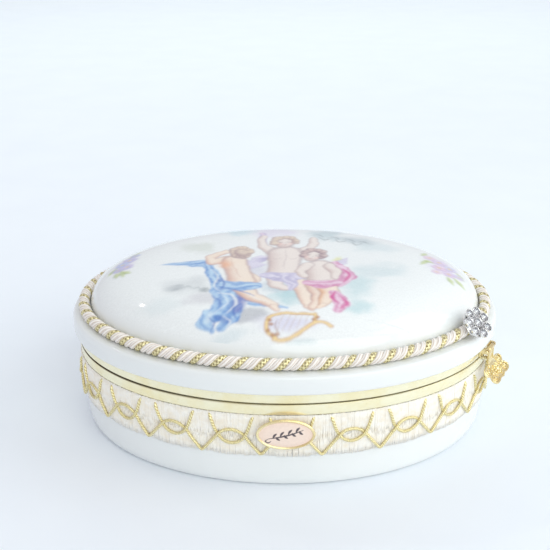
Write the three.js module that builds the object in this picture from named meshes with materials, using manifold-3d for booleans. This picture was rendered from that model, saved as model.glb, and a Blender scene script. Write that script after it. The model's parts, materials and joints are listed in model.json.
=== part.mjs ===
// Oval porcelain trinket box: a bowl and a domed lid, each rimmed by a brass band, joined by a barrel
// hinge and closed by a swinging clasp. Trims: a twisted rope and a rhinestone flower on the lid, and a
// gold and white braid with an oval plaque round the bowl.
// Millimetres, +Z up. The origin is the centre of the oval on the foot plane, +X runs along the long
// axis and -Y is the front.

import * as THREE from "three";
import { mergeVertices } from "three/addons/utils/BufferGeometryUtils.js";
import Module from "manifold-3d";

const wasm = await Module();
wasm.setup();

// ---- Driving dimensions ------------------------------------------------------------------------

const HALF_LENGTH = 100; // centre to the outer face of the brass bands, along X
const HALF_WIDTH = 75; // the same, along Y
const CORE_RADIUS = 88; // inside this size the ovals shrink in proportion to the centre
const OVAL_STEPS = 60; // flats round an oval
const GAP = 0.3; // glue or air between pieces that touch

const BOWL_RIM = 41.6; // height of the bowl's rim
const PART_LINE = 42.9; // height where the lid meets the bowl
const LID_RIM = 44.2; // height of the lid's lower rim
const RIM_OUTER = 99; // outer face of both porcelain rims
const RIM_INNER = 94.8; // inner face of both porcelain rims
const BAND_THICKNESS = 0.7;
const BOWL_BAND_FOOT = 37.7; // lower edge of the bowl's band
const LID_BAND_TOP = 48; // upper edge of the lid's band
const BAND_LIP = 3.1; // height of the bands' inner lip
const BAND_GAP = 0.6; // between the two bands when shut

const FLANGE_BASE = 48.3; // underside of the lid's flange
const FLANGE_TOP = 57.5;
const FLANGE_OUTER = 102.6;
const DOME_EDGE = 93.8; // where the dome rises from the flange
const DOME_FOOT = 58.4;
const DOME_RISE = 19.8;
const DOME_THICKNESS = 3.8;
const DOME_STEPS = 10;

const ROPE_RING = 96.9; // centre line of the rope round the dome
const ROPE_RADIUS = 2.7;
const ROPE_HEIGHT = 60.5;

const RIBBON_FOOT = 16.9;
const RIBBON_TOP = 37.3;
const RIBBON_THICKNESS = 1;
const MOTIFS = 21; // repeats of the braid's pattern round the bowl
const MOTIF_STEPS = 8;
const CORD_THICKNESS = 0.7;
const CORD_HALF_HEIGHT = 0.6;
const MOTIF_START = 0.75 - 10.7 / 561; // share of the way round where one lower point falls

const PLAQUE_HEIGHT = 30.2; // centre of the oval plaque
const PLAQUE_HALF_WIDTH = 11.6;
const PLAQUE_HALF_HEIGHT = 6.3;
const PLAQUE_THICKNESS = 1;
const PLAQUE_RIM_WIDTH = 0.7;
const PLAQUE_BACK = 77.6; // distance of its back from the long axis, clear of the cords

const HINGE_ANGLE = 158; // parameter angle of the hinge on the oval, degrees
const CLASP_ANGLE = HINGE_ANGLE - 180;
const HINGE_REACH = 1.9; // hinge axis outside the bands
const KNUCKLE_RADIUS = 1.5;
const KNUCKLE_LENGTH = 3.8;
const KNUCKLE_PITCH = 4.05;
const HINGE_PIN_RADIUS = 0.8;
const HINGE_BORE_RADIUS = 0.87;
const LEAF_THICKNESS = 0.7;
const LEAF_HALF_WIDTH = 10;

const CLASP_REACH = 3.2; // clasp pivot outside the bands
const CLASP_PIVOT = 46.6; // height of the clasp pivot
const CLASP_BARREL_RADIUS = 1.3;
const CLASP_PIN_RADIUS = 0.55;
const CLASP_BORE_RADIUS = 0.62;
const CLASP_BARREL_HALF = 3.7;
const EAR_INNER = 4;
const EAR_OUTER = 5.2;
const STUD_HEIGHT = 41;

const FLOWER_ANGLE = -31.7; // parameter angle of the rhinestone flower on the rope, degrees
const FLOWER_NORMAL = new THREE.Vector3(0.5, -0.52, 0.69).normalize();
const FLOWER_REACH = 4.7; // back of the flower from the rope's centre line
const PETALS = 7;
const PETAL_RING = 5.4;
const CUP_RADIUS = 2.2;
const CUP_WALL = 0.35;
const CUP_DEPTH = 1.5;

// ---- Materials ---------------------------------------------------------------------------------

const material = (color, roughness, metalness) =>
  new THREE.MeshStandardMaterial({ color, roughness, metalness });
const porcelain = material(0xf2f5f4, 0.12, 0);
const brass = material(0xd8b25c, 0.22, 1);
const satin = material(0xf3efea, 0.45, 0);
const braid = material(0xf4f3ef, 0.8, 0);
const goldCord = material(0xd9bf6a, 0.4, 0.6);
const plaqueGlaze = material(0xf6dccb, 0.2, 0);
const silver = material(0xcfd2d4, 0.2, 1);
const crystal = material(0xeef4f6, 0.05, 0);

// ---- Helpers -----------------------------------------------------------------------------------

const box = new THREE.Group();

// Adds one named piece to a group.
function addPiece(name, geometry, surface, parent = box) {
  const mesh = new THREE.Mesh(geometry, surface);
  mesh.name = name;
  parent.add(mesh);
  return mesh;
}

// Half-width of the oval whose half-length is given: ovals near the wall run parallel to it.
function halfWidthOf(halfLength) {
  const step = HALF_LENGTH - HALF_WIDTH;
  if (halfLength >= CORE_RADIUS) return halfLength - step;
  return (halfLength * (CORE_RADIUS - step)) / CORE_RADIUS;
}

// Lathe about Z whose circles are stretched into ovals. The profile holds [half-length, height].
function ovalLathe(profile, steps = OVAL_STEPS) {
  const points = profile.map(([x, y]) => new THREE.Vector2(x, y));
  const geometry = new THREE.LatheGeometry(points, steps).rotateX(Math.PI / 2);
  const position = geometry.getAttribute("position");
  for (let i = 0; i < position.count; i += 1) {
    const halfLength = Math.hypot(position.getX(i), position.getY(i));
    if (halfLength > 0) {
      position.setY(i, (position.getY(i) * halfWidthOf(halfLength)) / halfLength);
    }
  }
  return geometry;
}

// Ring of rectangular section between two ovals and two heights.
function ovalRing(inner, outer, low, high) {
  return ovalLathe([
    [outer, low],
    [outer, high],
    [inner, high],
    [inner, low],
    [outer, low],
  ]);
}

function toSolid(geometry) {
  const bare = geometry.clone();
  bare.deleteAttribute("normal");
  bare.deleteAttribute("uv");
  const merged = mergeVertices(bare);
  return new wasm.Manifold(
    new wasm.Mesh({
      numProp: 3,
      vertProperties: new Float32Array(merged.getAttribute("position").array),
      triVerts: new Uint32Array(merged.index.array),
    }),
  );
}

function toGeometry(solid) {
  const mesh = solid.getMesh();
  const geometry = new THREE.BufferGeometry();
  geometry.setAttribute("position", new THREE.BufferAttribute(mesh.vertProperties, 3));
  geometry.setIndex(new THREE.BufferAttribute(mesh.triVerts, 1));
  geometry.computeVertexNormals();
  return geometry;
}

// Box between two corners, as a solid.
function blockSolid([x0, y0, z0], [x1, y1, z1]) {
  const geometry = new THREE.BoxGeometry(x1 - x0, y1 - y0, z1 - z0);
  geometry.translate((x0 + x1) / 2, (y0 + y1) / 2, (z0 + z1) / 2);
  return toSolid(geometry);
}

// Cylinder along Y, centred on (x, z), from y0 to y1, as a solid.
function rodSolid(radius, x, z, y0, y1, sides = 16) {
  const geometry = new THREE.CylinderGeometry(radius, radius, y1 - y0, sides);
  geometry.translate(x, (y0 + y1) / 2, z);
  return toSolid(geometry);
}

// Group standing on the bands' outer face: its X points outwards and its Y runs along the oval.
function station(degrees) {
  const angle = THREE.MathUtils.degToRad(degrees);
  const group = new THREE.Group();
  group.position.set(HALF_LENGTH * Math.cos(angle), HALF_WIDTH * Math.sin(angle), 0);
  group.rotation.z = Math.atan2(Math.sin(angle) / HALF_WIDTH, Math.cos(angle) / HALF_LENGTH);
  group.updateMatrix();
  box.add(group);
  return group;
}

// Part of a ring round the oval that lies within halfWidth of a station, in the station's own frame.
function ringSlice(group, inner, outer, low, high, halfWidth) {
  const ring = ovalRing(inner, outer, low, high).applyMatrix4(group.matrix.clone().invert());
  const window = blockSolid([-8, -halfWidth, low - 1], [8, halfWidth, high + 1]);
  return toSolid(ring).intersect(window);
}

// Everything inside the bands' outer face plus the gap, in a station's own frame.
function insideBands(group) {
  const core = ovalLathe([
    [0, 0],
    [HALF_LENGTH + GAP, 0],
    [HALF_LENGTH + GAP, 70],
    [0, 70],
  ]);
  return toSolid(core.applyMatrix4(group.matrix.clone().invert()));
}

// ---- Porcelain bowl and lid --------------------------------------------------------------------

function bowl() {
  return ovalLathe([
    [0, 0],
    [95.2, 0],
    [96.9, 0.8],
    [98.1, 3.4],
    [98.7, 8],
    [RIM_OUTER, 15],
    [RIM_OUTER, BOWL_RIM],
    [RIM_INNER, BOWL_RIM],
    [94.6, 14],
    [93, 9],
    [89, 6],
    [83, 4.8],
    [0, 4.8],
  ]);
}

// Outer height of the dome at a half-length, a flat-topped curve that drops fast near its edge.
function domeHeight(halfLength) {
  const share = Math.min(1, halfLength / DOME_EDGE);
  return DOME_FOOT + DOME_RISE * (1 - share ** 5) ** 0.42;
}

function lid() {
  const outside = [];
  for (let i = 0; i < DOME_STEPS; i += 1) {
    const halfLength = DOME_EDGE * Math.cos((i / DOME_STEPS) * (Math.PI / 2)) ** 0.7;
    outside.push([halfLength, domeHeight(halfLength)]);
  }
  outside.push([0, domeHeight(0)]);
  return ovalLathe([
    [0, domeHeight(0) - DOME_THICKNESS],
    [48, 73.4],
    [70, 71.2],
    [80, 68.7],
    [86, 65.2],
    [89.8, 59.8],
    [92.4, 56],
    [94.4, 52.4],
    [RIM_INNER, LID_RIM],
    [RIM_OUTER, LID_RIM],
    [RIM_OUTER, FLANGE_BASE],
    [102.2, FLANGE_BASE],
    [FLANGE_OUTER, FLANGE_BASE + 0.6],
    [FLANGE_OUTER, FLANGE_TOP - 2.1],
    [102.2, FLANGE_TOP - 0.8],
    [100.6, FLANGE_TOP],
    [94.3, FLANGE_TOP],
    ...outside,
  ]);
}

// ---- Brass bands: channels that cap the porcelain rims -----------------------------------------

function bowlBand() {
  const top = PART_LINE - BAND_GAP / 2;
  const web = top - BAND_THICKNESS;
  return ovalLathe([
    [HALF_LENGTH, BOWL_BAND_FOOT],
    [HALF_LENGTH, top - 0.4],
    [HALF_LENGTH - 0.4, top],
    [93.9, top],
    [93.6, top - 0.3],
    [93.6, top - BAND_LIP],
    [94.3, top - BAND_LIP],
    [94.3, web],
    [RIM_OUTER + GAP, web],
    [RIM_OUTER + GAP, BOWL_BAND_FOOT],
    [HALF_LENGTH, BOWL_BAND_FOOT],
  ]);
}

function lidBand() {
  const foot = PART_LINE + BAND_GAP / 2;
  const web = foot + BAND_THICKNESS;
  return ovalLathe([
    [HALF_LENGTH, foot + 0.4],
    [HALF_LENGTH, LID_BAND_TOP],
    [RIM_OUTER + GAP, LID_BAND_TOP],
    [RIM_OUTER + GAP, web],
    [94.3, web],
    [94.3, foot + BAND_LIP],
    [93.6, foot + BAND_LIP],
    [93.6, foot + 0.3],
    [93.9, foot],
    [HALF_LENGTH - 0.4, foot],
    [HALF_LENGTH, foot + 0.4],
  ]);
}

// ---- Trims -------------------------------------------------------------------------------------

function rope() {
  const sides = 8;
  const profile = [];
  for (let i = 0; i <= sides; i += 1) {
    const turn = ((i % sides) / sides) * Math.PI * 2;
    profile.push([
      ROPE_RING + ROPE_RADIUS * Math.cos(turn),
      ROPE_HEIGHT + ROPE_RADIUS * Math.sin(turn),
    ]);
  }
  return ovalLathe(profile);
}

// Height of the lower cord over one repeat: a sharp low point, a crossing, the top of the eye.
function lowerCordHeight(share) {
  const fromMiddle = Math.abs(share - 0.5);
  if (fromMiddle < 0.22) return 27 + 2.6 * (1 - (fromMiddle / 0.22) ** 2);
  return 17.9 + 9.1 * ((0.5 - fromMiddle) / 0.28);
}

// Height of the upper cord over one repeat: the bottom of the eye, a crossing, the ribbon's top edge.
function upperCordHeight(share) {
  const fromMiddle = Math.abs(share - 0.5);
  if (fromMiddle < 0.22) return 27 - 3.5 * (1 - (fromMiddle / 0.22) ** 2);
  return Math.min(36.4, 27 + 9.4 * ((fromMiddle - 0.22) / 0.13));
}

// Flat cord that runs round the bowl and rises and falls once in each repeat.
function cord(inner, heightAt) {
  const steps = MOTIFS * MOTIF_STEPS;
  const outer = inner + CORD_THICKNESS;
  const section = [
    [outer, -CORD_HALF_HEIGHT],
    [outer, CORD_HALF_HEIGHT],
    [inner, CORD_HALF_HEIGHT],
    [inner, -CORD_HALF_HEIGHT],
    [outer, -CORD_HALF_HEIGHT],
  ];
  const points = section.map(([x, y]) => new THREE.Vector2(x, y));
  const geometry = new THREE.LatheGeometry(points, steps).rotateX(Math.PI / 2);
  const ovals = new Map();
  for (const halfLength of [inner, outer]) {
    const oval = new THREE.EllipseCurve(0, 0, halfLength, halfWidthOf(halfLength));
    oval.arcLengthDivisions = 720;
    ovals.set(halfLength, oval);
  }
  const position = geometry.getAttribute("position");
  for (let i = 0; i < position.count; i += 1) {
    const step = Math.floor(i / section.length) % steps;
    const halfLength = section[i % section.length][0];
    const onOval = ovals.get(halfLength).getPointAt((MOTIF_START + step / steps) % 1);
    const height = heightAt((step % MOTIF_STEPS) / MOTIF_STEPS);
    position.setXYZ(i, onOval.x, onOval.y, position.getZ(i) + height);
  }
  return geometry;
}

function ovalOutline(halfWidth, halfHeight) {
  return new THREE.Shape().absellipse(0, 0, halfWidth, halfHeight, 0, Math.PI * 2);
}

// Stands an outline up on the front of the bowl, extruded towards the front.
function plaqueGeometry(outline, thickness) {
  const geometry = new THREE.ExtrudeGeometry(outline, {
    depth: thickness,
    bevelEnabled: false,
    curveSegments: 16,
  });
  return geometry.rotateX(Math.PI / 2).translate(0, -PLAQUE_BACK, PLAQUE_HEIGHT);
}

function plaque() {
  return plaqueGeometry(ovalOutline(PLAQUE_HALF_WIDTH, PLAQUE_HALF_HEIGHT), PLAQUE_THICKNESS);
}

function plaqueRim() {
  const hole = [PLAQUE_HALF_WIDTH + GAP, PLAQUE_HALF_HEIGHT + GAP];
  const outline = ovalOutline(hole[0] + PLAQUE_RIM_WIDTH, hole[1] + PLAQUE_RIM_WIDTH);
  outline.holes.push(ovalOutline(hole[0], hole[1]));
  return plaqueGeometry(outline, PLAQUE_THICKNESS + 0.3);
}

// ---- Hinge -------------------------------------------------------------------------------------

// One leaf of the hinge: a plate that follows the band, and knuckles on webs at the given places.
function hingeLeaf(group, plate, web, places) {
  const outer = HALF_LENGTH + GAP + LEAF_THICKNESS;
  let leaf = ringSlice(group, HALF_LENGTH + GAP, outer, plate[0], plate[1], LEAF_HALF_WIDTH);
  const cutter = insideBands(group);
  for (const place of places) {
    const y0 = place * KNUCKLE_PITCH - KNUCKLE_LENGTH / 2;
    const y1 = y0 + KNUCKLE_LENGTH;
    const arm = blockSolid([-1.5, y0, web[0]], [HINGE_REACH, y1, web[1]]).subtract(cutter);
    const knuckle = rodSolid(KNUCKLE_RADIUS, HINGE_REACH, PART_LINE, y0, y1);
    leaf = leaf.add(arm).add(knuckle);
  }
  const bore = rodSolid(HINGE_BORE_RADIUS, HINGE_REACH, PART_LINE, -12, 12);
  return toGeometry(leaf.subtract(bore));
}

// Pin along Y with a round head at each end, its middle at (x, z).
function headedPin(radius, headRadius, halfSpan, x, z) {
  const headLength = 0.6;
  const points = [
    [0, -halfSpan - headLength],
    [headRadius * 0.7, -halfSpan - headLength],
    [headRadius, -halfSpan - headLength / 2],
    [headRadius, -halfSpan],
    [radius, -halfSpan],
    [radius, halfSpan],
    [headRadius, halfSpan],
    [headRadius, halfSpan + headLength / 2],
    [headRadius * 0.7, halfSpan + headLength],
    [0, halfSpan + headLength],
  ].map(([px, py]) => new THREE.Vector2(px, py));
  return new THREE.LatheGeometry(points, 16).translate(x, 0, z);
}

// ---- Clasp -------------------------------------------------------------------------------------

// Plate on the lid's band with two ears that hold the clasp's pin.
function claspBracket(group) {
  const outer = HALF_LENGTH + GAP + LEAF_THICKNESS;
  let bracket = ringSlice(group, HALF_LENGTH + GAP, outer, PART_LINE + 0.8, 47.8, EAR_OUTER + 0.6);
  const cutter = insideBands(group);
  for (const side of [-1, 1]) {
    const y0 = Math.min(side * EAR_INNER, side * EAR_OUTER);
    const y1 = Math.max(side * EAR_INNER, side * EAR_OUTER);
    const low = [-1.5, y0, CLASP_PIVOT - CLASP_BARREL_RADIUS];
    const high = [CLASP_REACH, y1, CLASP_PIVOT + CLASP_BARREL_RADIUS];
    const arm = blockSolid(low, high).subtract(cutter);
    const round = rodSolid(CLASP_BARREL_RADIUS, CLASP_REACH, CLASP_PIVOT, y0, y1);
    bracket = bracket.add(arm).add(round);
  }
  const bore = rodSolid(CLASP_BORE_RADIUS, CLASP_REACH, CLASP_PIVOT, -8, 8);
  return toGeometry(bracket.subtract(bore));
}

// Side view of the clasp: a strap down over the part line, then a lip that flares outwards.
function claspSide() {
  return new THREE.Shape([
    new THREE.Vector2(4.05, CLASP_PIVOT),
    new THREE.Vector2(3.15, CLASP_PIVOT),
    new THREE.Vector2(3.15, 41.2),
    new THREE.Vector2(3.8, 38.9),
    new THREE.Vector2(5.5, 37.2),
    new THREE.Vector2(10.75, 33.5),
    new THREE.Vector2(11.3, 34.25),
    new THREE.Vector2(6.1, 38),
    new THREE.Vector2(4.6, 39.6),
    new THREE.Vector2(4.05, 41.4),
  ]);
}

// Front view of the clasp: a narrow strap that widens into a bow-shaped lip with notched ends.
function claspFront() {
  const outline = new THREE.Shape();
  outline.moveTo(-3.7, 47.4);
  outline.lineTo(-3.7, 41.2);
  outline.quadraticCurveTo(-4.5, 39.1, -9.2, 38.7);
  outline.quadraticCurveTo(-12, 38.3, -11.5, 37.1);
  outline.lineTo(-8.6, 35.7);
  outline.lineTo(-10.6, 34.3);
  outline.quadraticCurveTo(-10.2, 33, -6.8, 33.3);
  outline.quadraticCurveTo(0, 32.7, 6.8, 33.3);
  outline.quadraticCurveTo(10.2, 33, 10.6, 34.3);
  outline.lineTo(8.6, 35.7);
  outline.lineTo(11.5, 37.1);
  outline.quadraticCurveTo(12, 38.3, 9.2, 38.7);
  outline.quadraticCurveTo(4.5, 39.1, 3.7, 41.2);
  outline.lineTo(3.7, 47.4);
  return outline;
}

function claspTongue() {
  const side = new THREE.ExtrudeGeometry(claspSide(), { depth: 28, bevelEnabled: false });
  side.rotateX(Math.PI / 2).translate(0, 14, 0);
  const front = new THREE.ExtrudeGeometry(claspFront(), {
    depth: 14,
    bevelEnabled: false,
    curveSegments: 5,
  });
  // The outline's x becomes Y, its y becomes Z and the extrusion runs along X.
  front.applyMatrix4(new THREE.Matrix4().set(0, 0, 1, 0, 1, 0, 0, 0, 0, 1, 0, 0, 0, 0, 0, 1));
  const leaf = toSolid(side).intersect(toSolid(front));
  const span = [-CLASP_BARREL_HALF, CLASP_BARREL_HALF];
  const barrel = rodSolid(CLASP_BARREL_RADIUS, CLASP_REACH, CLASP_PIVOT, ...span);
  const bore = rodSolid(CLASP_BORE_RADIUS, CLASP_REACH, CLASP_PIVOT, -6, 6);
  return toGeometry(leaf.add(barrel).subtract(bore));
}

// Ball-ended stud on the bowl's band that the clasp's strap presses over.
function catchStud() {
  const points = [
    [0, GAP],
    [1.4, GAP],
    [1.4, 0.7],
    [0.7, 0.8],
    [0.7, 1.1],
    [1.05, 1.6],
    [1.05, 2.1],
    [0.6, 2.7],
    [0, 2.82],
  ].map(([px, py]) => new THREE.Vector2(px, py));
  return new THREE.LatheGeometry(points, 14).rotateZ(-Math.PI / 2).translate(0, 0, STUD_HEIGHT);
}

// ---- Rhinestone flower -------------------------------------------------------------------------

// Group on the rope whose Z points out of the flower's face.
function flowerGroup() {
  const angle = THREE.MathUtils.degToRad(FLOWER_ANGLE);
  const group = new THREE.Group();
  group.position.set(
    ROPE_RING * Math.cos(angle),
    halfWidthOf(ROPE_RING) * Math.sin(angle),
    ROPE_HEIGHT,
  );
  group.position.addScaledVector(FLOWER_NORMAL, FLOWER_REACH);
  group.quaternion.setFromUnitVectors(new THREE.Vector3(0, 0, 1), FLOWER_NORMAL);
  box.add(group);
  return group;
}

function latheZ(profile, steps) {
  const points = profile.map(([x, y]) => new THREE.Vector2(x, y));
  return new THREE.LatheGeometry(points, steps).rotateX(Math.PI / 2);
}

function flowerPlate() {
  const radius = PETAL_RING + 1.2;
  return latheZ([[0, 0], [radius, 0], [radius, 0.5], [radius - 0.2, 0.7], [0, 0.7]], 28);
}

function stoneCup() {
  const inner = CUP_RADIUS - CUP_WALL;
  return latheZ(
    [
      [0, 0],
      [CUP_RADIUS - 0.5, 0],
      [CUP_RADIUS, 0.6],
      [CUP_RADIUS, CUP_DEPTH],
      [inner, CUP_DEPTH],
      [inner, 0.6],
      [0, 0.3],
    ],
    12,
  );
}

function stone() {
  const radius = CUP_RADIUS - CUP_WALL - GAP;
  return latheZ([[0, 0.65], [radius, 1.15], [radius, 1.4], [radius * 0.6, 2.1], [0, 2.1]], 8);
}

// ---- Assembly ----------------------------------------------------------------------------------

addPiece("bowl", bowl(), porcelain);
addPiece("bowl_band", bowlBand(), brass);
addPiece("lid", lid(), porcelain);
addPiece("lid_band", lidBand(), brass);
addPiece("rope_trim", rope(), satin);

const ribbonInner = RIM_OUTER + GAP;
const ribbonOuter = ribbonInner + RIBBON_THICKNESS;
const lowerCordInner = ribbonOuter + GAP;
const upperCordInner = lowerCordInner + CORD_THICKNESS + GAP;
addPiece("braid_ribbon", ovalRing(ribbonInner, ribbonOuter, RIBBON_FOOT, RIBBON_TOP), braid);
addPiece("braid_cord_lower", cord(lowerCordInner, lowerCordHeight), goldCord);
addPiece("braid_cord_upper", cord(upperCordInner, upperCordHeight), goldCord);
addPiece("plaque", plaque(), plaqueGlaze);
addPiece("plaque_rim", plaqueRim(), brass);

const hinge = station(HINGE_ANGLE);
const bowlLeaf = hingeLeaf(hinge, [38.4, 41], [40.9, 42.1], [-2, 0, 2]);
const lidLeaf = hingeLeaf(hinge, [44.8, 47.7], [43.7, 44.9], [-1, 1]);
addPiece("hinge_leaf_bowl", bowlLeaf, brass, hinge);
addPiece("hinge_leaf_lid", lidLeaf, brass, hinge);
const hingeSpan = 2 * KNUCKLE_PITCH + KNUCKLE_LENGTH / 2 + GAP;
const hingePin = headedPin(HINGE_PIN_RADIUS, 1.25, hingeSpan, HINGE_REACH, PART_LINE);
addPiece("hinge_pin", hingePin, brass, hinge);

const clasp = station(CLASP_ANGLE);
addPiece("clasp_bracket", claspBracket(clasp), brass, clasp);
const claspSpan = EAR_OUTER + GAP;
const claspPin = headedPin(CLASP_PIN_RADIUS, 0.95, claspSpan, CLASP_REACH, CLASP_PIVOT);
addPiece("clasp_pin", claspPin, brass, clasp);
addPiece("clasp_tongue", claspTongue(), brass, clasp);
addPiece("catch_stud", catchStud(), brass, clasp);

const flower = flowerGroup();
addPiece("flower_plate", flowerPlate(), silver, flower);
for (let i = 0; i <= PETALS; i += 1) {
  const petal = new THREE.Group();
  const turn = (i / PETALS) * Math.PI * 2;
  const reach = i < PETALS ? PETAL_RING : 0;
  petal.position.set(reach * Math.cos(turn), reach * Math.sin(turn), 0.7 + GAP);
  flower.add(petal);
  addPiece(`stone_cup_${i + 1}`, stoneCup(), silver, petal);
  addPiece(`rhinestone_${i + 1}`, stone(), crystal, petal);
}

export default box;
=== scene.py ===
"""Porcelain trinket box: glazed bowl and painted lid, brass bands, rope and braid trims, plaque, clasp."""

import json
import math

import bmesh
import bpy
import numpy as np
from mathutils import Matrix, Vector


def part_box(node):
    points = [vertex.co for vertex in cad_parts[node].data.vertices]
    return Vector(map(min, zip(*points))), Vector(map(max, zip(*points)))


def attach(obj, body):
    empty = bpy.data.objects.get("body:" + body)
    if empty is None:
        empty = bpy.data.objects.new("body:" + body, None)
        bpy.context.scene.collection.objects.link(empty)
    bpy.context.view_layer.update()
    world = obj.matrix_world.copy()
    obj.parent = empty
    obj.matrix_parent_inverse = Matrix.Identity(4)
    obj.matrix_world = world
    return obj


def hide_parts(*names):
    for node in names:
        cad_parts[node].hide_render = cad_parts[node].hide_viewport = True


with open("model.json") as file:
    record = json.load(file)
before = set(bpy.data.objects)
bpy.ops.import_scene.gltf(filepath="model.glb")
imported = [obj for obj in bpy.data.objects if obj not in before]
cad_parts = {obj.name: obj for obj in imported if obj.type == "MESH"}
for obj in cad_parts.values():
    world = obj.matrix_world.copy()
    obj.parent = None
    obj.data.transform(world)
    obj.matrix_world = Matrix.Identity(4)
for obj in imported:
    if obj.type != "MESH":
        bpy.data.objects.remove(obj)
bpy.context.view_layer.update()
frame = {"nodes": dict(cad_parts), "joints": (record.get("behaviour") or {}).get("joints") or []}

MM = 0.001  # every length below is in millimetres unless it says otherwise
TAU = 2 * math.pi
WHITE = (0.86, 0.885, 0.88)  # bare glaze


# ---- Sizes taken from the frame ----------------------------------------------------------------

def low(node):
    """Lowest corner of a CAD node, in millimetres."""
    return np.array(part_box(node)[0]) / MM


def high(node):
    """Highest corner of a CAD node, in millimetres."""
    return np.array(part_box(node)[1]) / MM


HALF_LENGTH, HALF_WIDTH = high("bowl_band")[:2]
CORE = 0.88 * HALF_LENGTH  # inside this size the ovals shrink in proportion to the centre
STEP = HALF_LENGTH - HALF_WIDTH  # how much longer than wide the outer ovals are, to each side
RIM_OUTER = high("bowl")[0]
WALL = 4.2
RIM_INNER = RIM_OUTER - WALL
BOWL_RIM = high("bowl")[2]
LID_RIM = low("lid")[2]
FLANGE_OUTER = high("lid")[0]
LID_TOP = high("lid")[2]
FLANGE_BASE = LID_RIM + 4.1
FLANGE_TOP = FLANGE_BASE + 9.2
DOME_EDGE = 93.8  # half-length of the oval where the dome meets the rope's groove
DOME_FOOT = FLANGE_TOP + 0.9
DOME_RISE = LID_TOP - DOME_FOOT
ROPE_RING = high("rope_trim")[0] - (high("rope_trim")[2] - low("rope_trim")[2]) / 2
ROPE_HEIGHT = (high("rope_trim")[2] + low("rope_trim")[2]) / 2
ROPE_RADIUS = (high("rope_trim")[2] - low("rope_trim")[2]) / 2
SEAM_HEIGHT = (high("bowl_band")[2] + low("lid_band")[2]) / 2
RIBBON_FOOT = low("braid_ribbon")[2]
RIBBON_TOP = high("braid_ribbon")[2]
RIBBON_INNER = high("braid_ribbon")[0] - 1.0
MOTIFS = 21  # repeats of the braid round the bowl
PLAQUE = (low("plaque") + high("plaque")) / 2
PLAQUE_BACK = -high("plaque")[1]
PLAQUE_HALF = (high("plaque") - low("plaque"))[[0, 2]] / 2
FLOWER_NORMAL = np.array([0.5, -0.52, 0.69])
FLOWER_NORMAL /= np.linalg.norm(FLOWER_NORMAL)


# ---- Ovals -------------------------------------------------------------------------------------

def half_width(half_length):
    """Half-width of the oval with this half-length: near the wall the ovals run parallel."""
    half_length = np.asarray(half_length, float)
    inside = half_length * (CORE - STEP) / CORE
    return np.where(half_length >= CORE, half_length - STEP, inside)


class Oval:
    """An oval round the box, read by the share of its length, from the +X end towards +Y."""

    def __init__(self, half_length):
        angle = np.linspace(0, TAU, 4097)
        self.angle = angle
        self.a = half_length
        self.b = float(half_width(half_length))
        x, y = self.a * np.cos(angle), self.b * np.sin(angle)
        steps = np.hypot(np.diff(x), np.diff(y))
        self.length = steps.sum()
        self.share = np.concatenate([[0], np.cumsum(steps)]) / self.length

    def point(self, share, reach=0.0):
        """Points (x, y) at these shares, moved outwards by reach."""
        angle = np.interp(np.mod(share, 1), self.share, self.angle)
        nx, ny = np.cos(angle) / self.a, np.sin(angle) / self.b
        size = np.hypot(nx, ny)
        x = self.a * np.cos(angle) + reach * nx / size
        y = self.b * np.sin(angle) + reach * ny / size
        return x, y


def smooth_step(low_edge, high_edge, value):
    t = np.clip((value - low_edge) / (high_edge - low_edge), 0, 1)
    return t * t * (3 - 2 * t)


# ---- Mesh building -----------------------------------------------------------------------------

class Piece:
    """Collects grids of points into one mesh. UVs are in millimetres along each grid."""

    def __init__(self):
        self.points, self.faces, self.uvs, self.count = [], [], [], 0

    def grid(self, points, size=(1.0, 1.0), caps=False):
        """Adds a grid of shape (rows, columns, 3). A ring repeats its first row or column."""
        points = np.asarray(points, float)
        rows, columns = points.shape[:2]
        index = np.arange(rows * columns).reshape(rows, columns) + self.count
        corners = [index[:-1, :-1], index[1:, :-1], index[1:, 1:], index[:-1, 1:]]
        self.faces += np.stack(corners, -1).reshape(-1, 4).tolist()
        along, across = np.linspace(0, size[0], rows), np.linspace(0, size[1], columns)
        u, v = np.meshgrid(along, across, indexing="ij")
        uv = np.stack([u, v], -1)
        parts = [uv[:-1, :-1], uv[1:, :-1], uv[1:, 1:], uv[:-1, 1:]]
        self.uvs.append(np.stack(parts, -2).reshape(-1, 2))
        if caps:
            for row in (0, rows - 1):
                ring = index[row, :-1].tolist()
                self.faces.append(ring)
                self.uvs.append(uv[row, :-1])
        self.points.append(points.reshape(-1, 3))
        self.count += rows * columns
        return self

    def build(self, name, body, material, slot, replaces=(), sheet=False, colours=None):
        """Makes the object, closes its seams, turns its faces out and hangs it on its body."""
        mesh = bpy.data.meshes.new(name)
        mesh.from_pydata((np.concatenate(self.points) * MM).tolist(), [], self.faces)
        layer = mesh.uv_layers.new(name="UVMap")
        layer.data.foreach_set("uv", np.concatenate(self.uvs).astype(np.float32).ravel())
        if colours is not None:
            attribute = mesh.color_attributes.new("picture", "FLOAT_COLOR", "POINT")
            rgba = np.concatenate([colours, np.ones((len(colours), 1))], 1)
            attribute.data.foreach_set("color", rgba.astype(np.float32).ravel())
        if not sheet:
            shape = bmesh.new()
            shape.from_mesh(mesh)
            bmesh.ops.remove_doubles(shape, verts=shape.verts, dist=2e-6)
            bmesh.ops.recalc_face_normals(shape, faces=shape.faces)
            shape.to_mesh(mesh)
            shape.free()
        mesh.shade_smooth()
        item = bpy.data.objects.new(name, mesh)
        bpy.context.scene.collection.objects.link(item)
        mesh.materials.append(material)
        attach(item, body)
        if replaces:
            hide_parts(*replaces)
        return item


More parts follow.
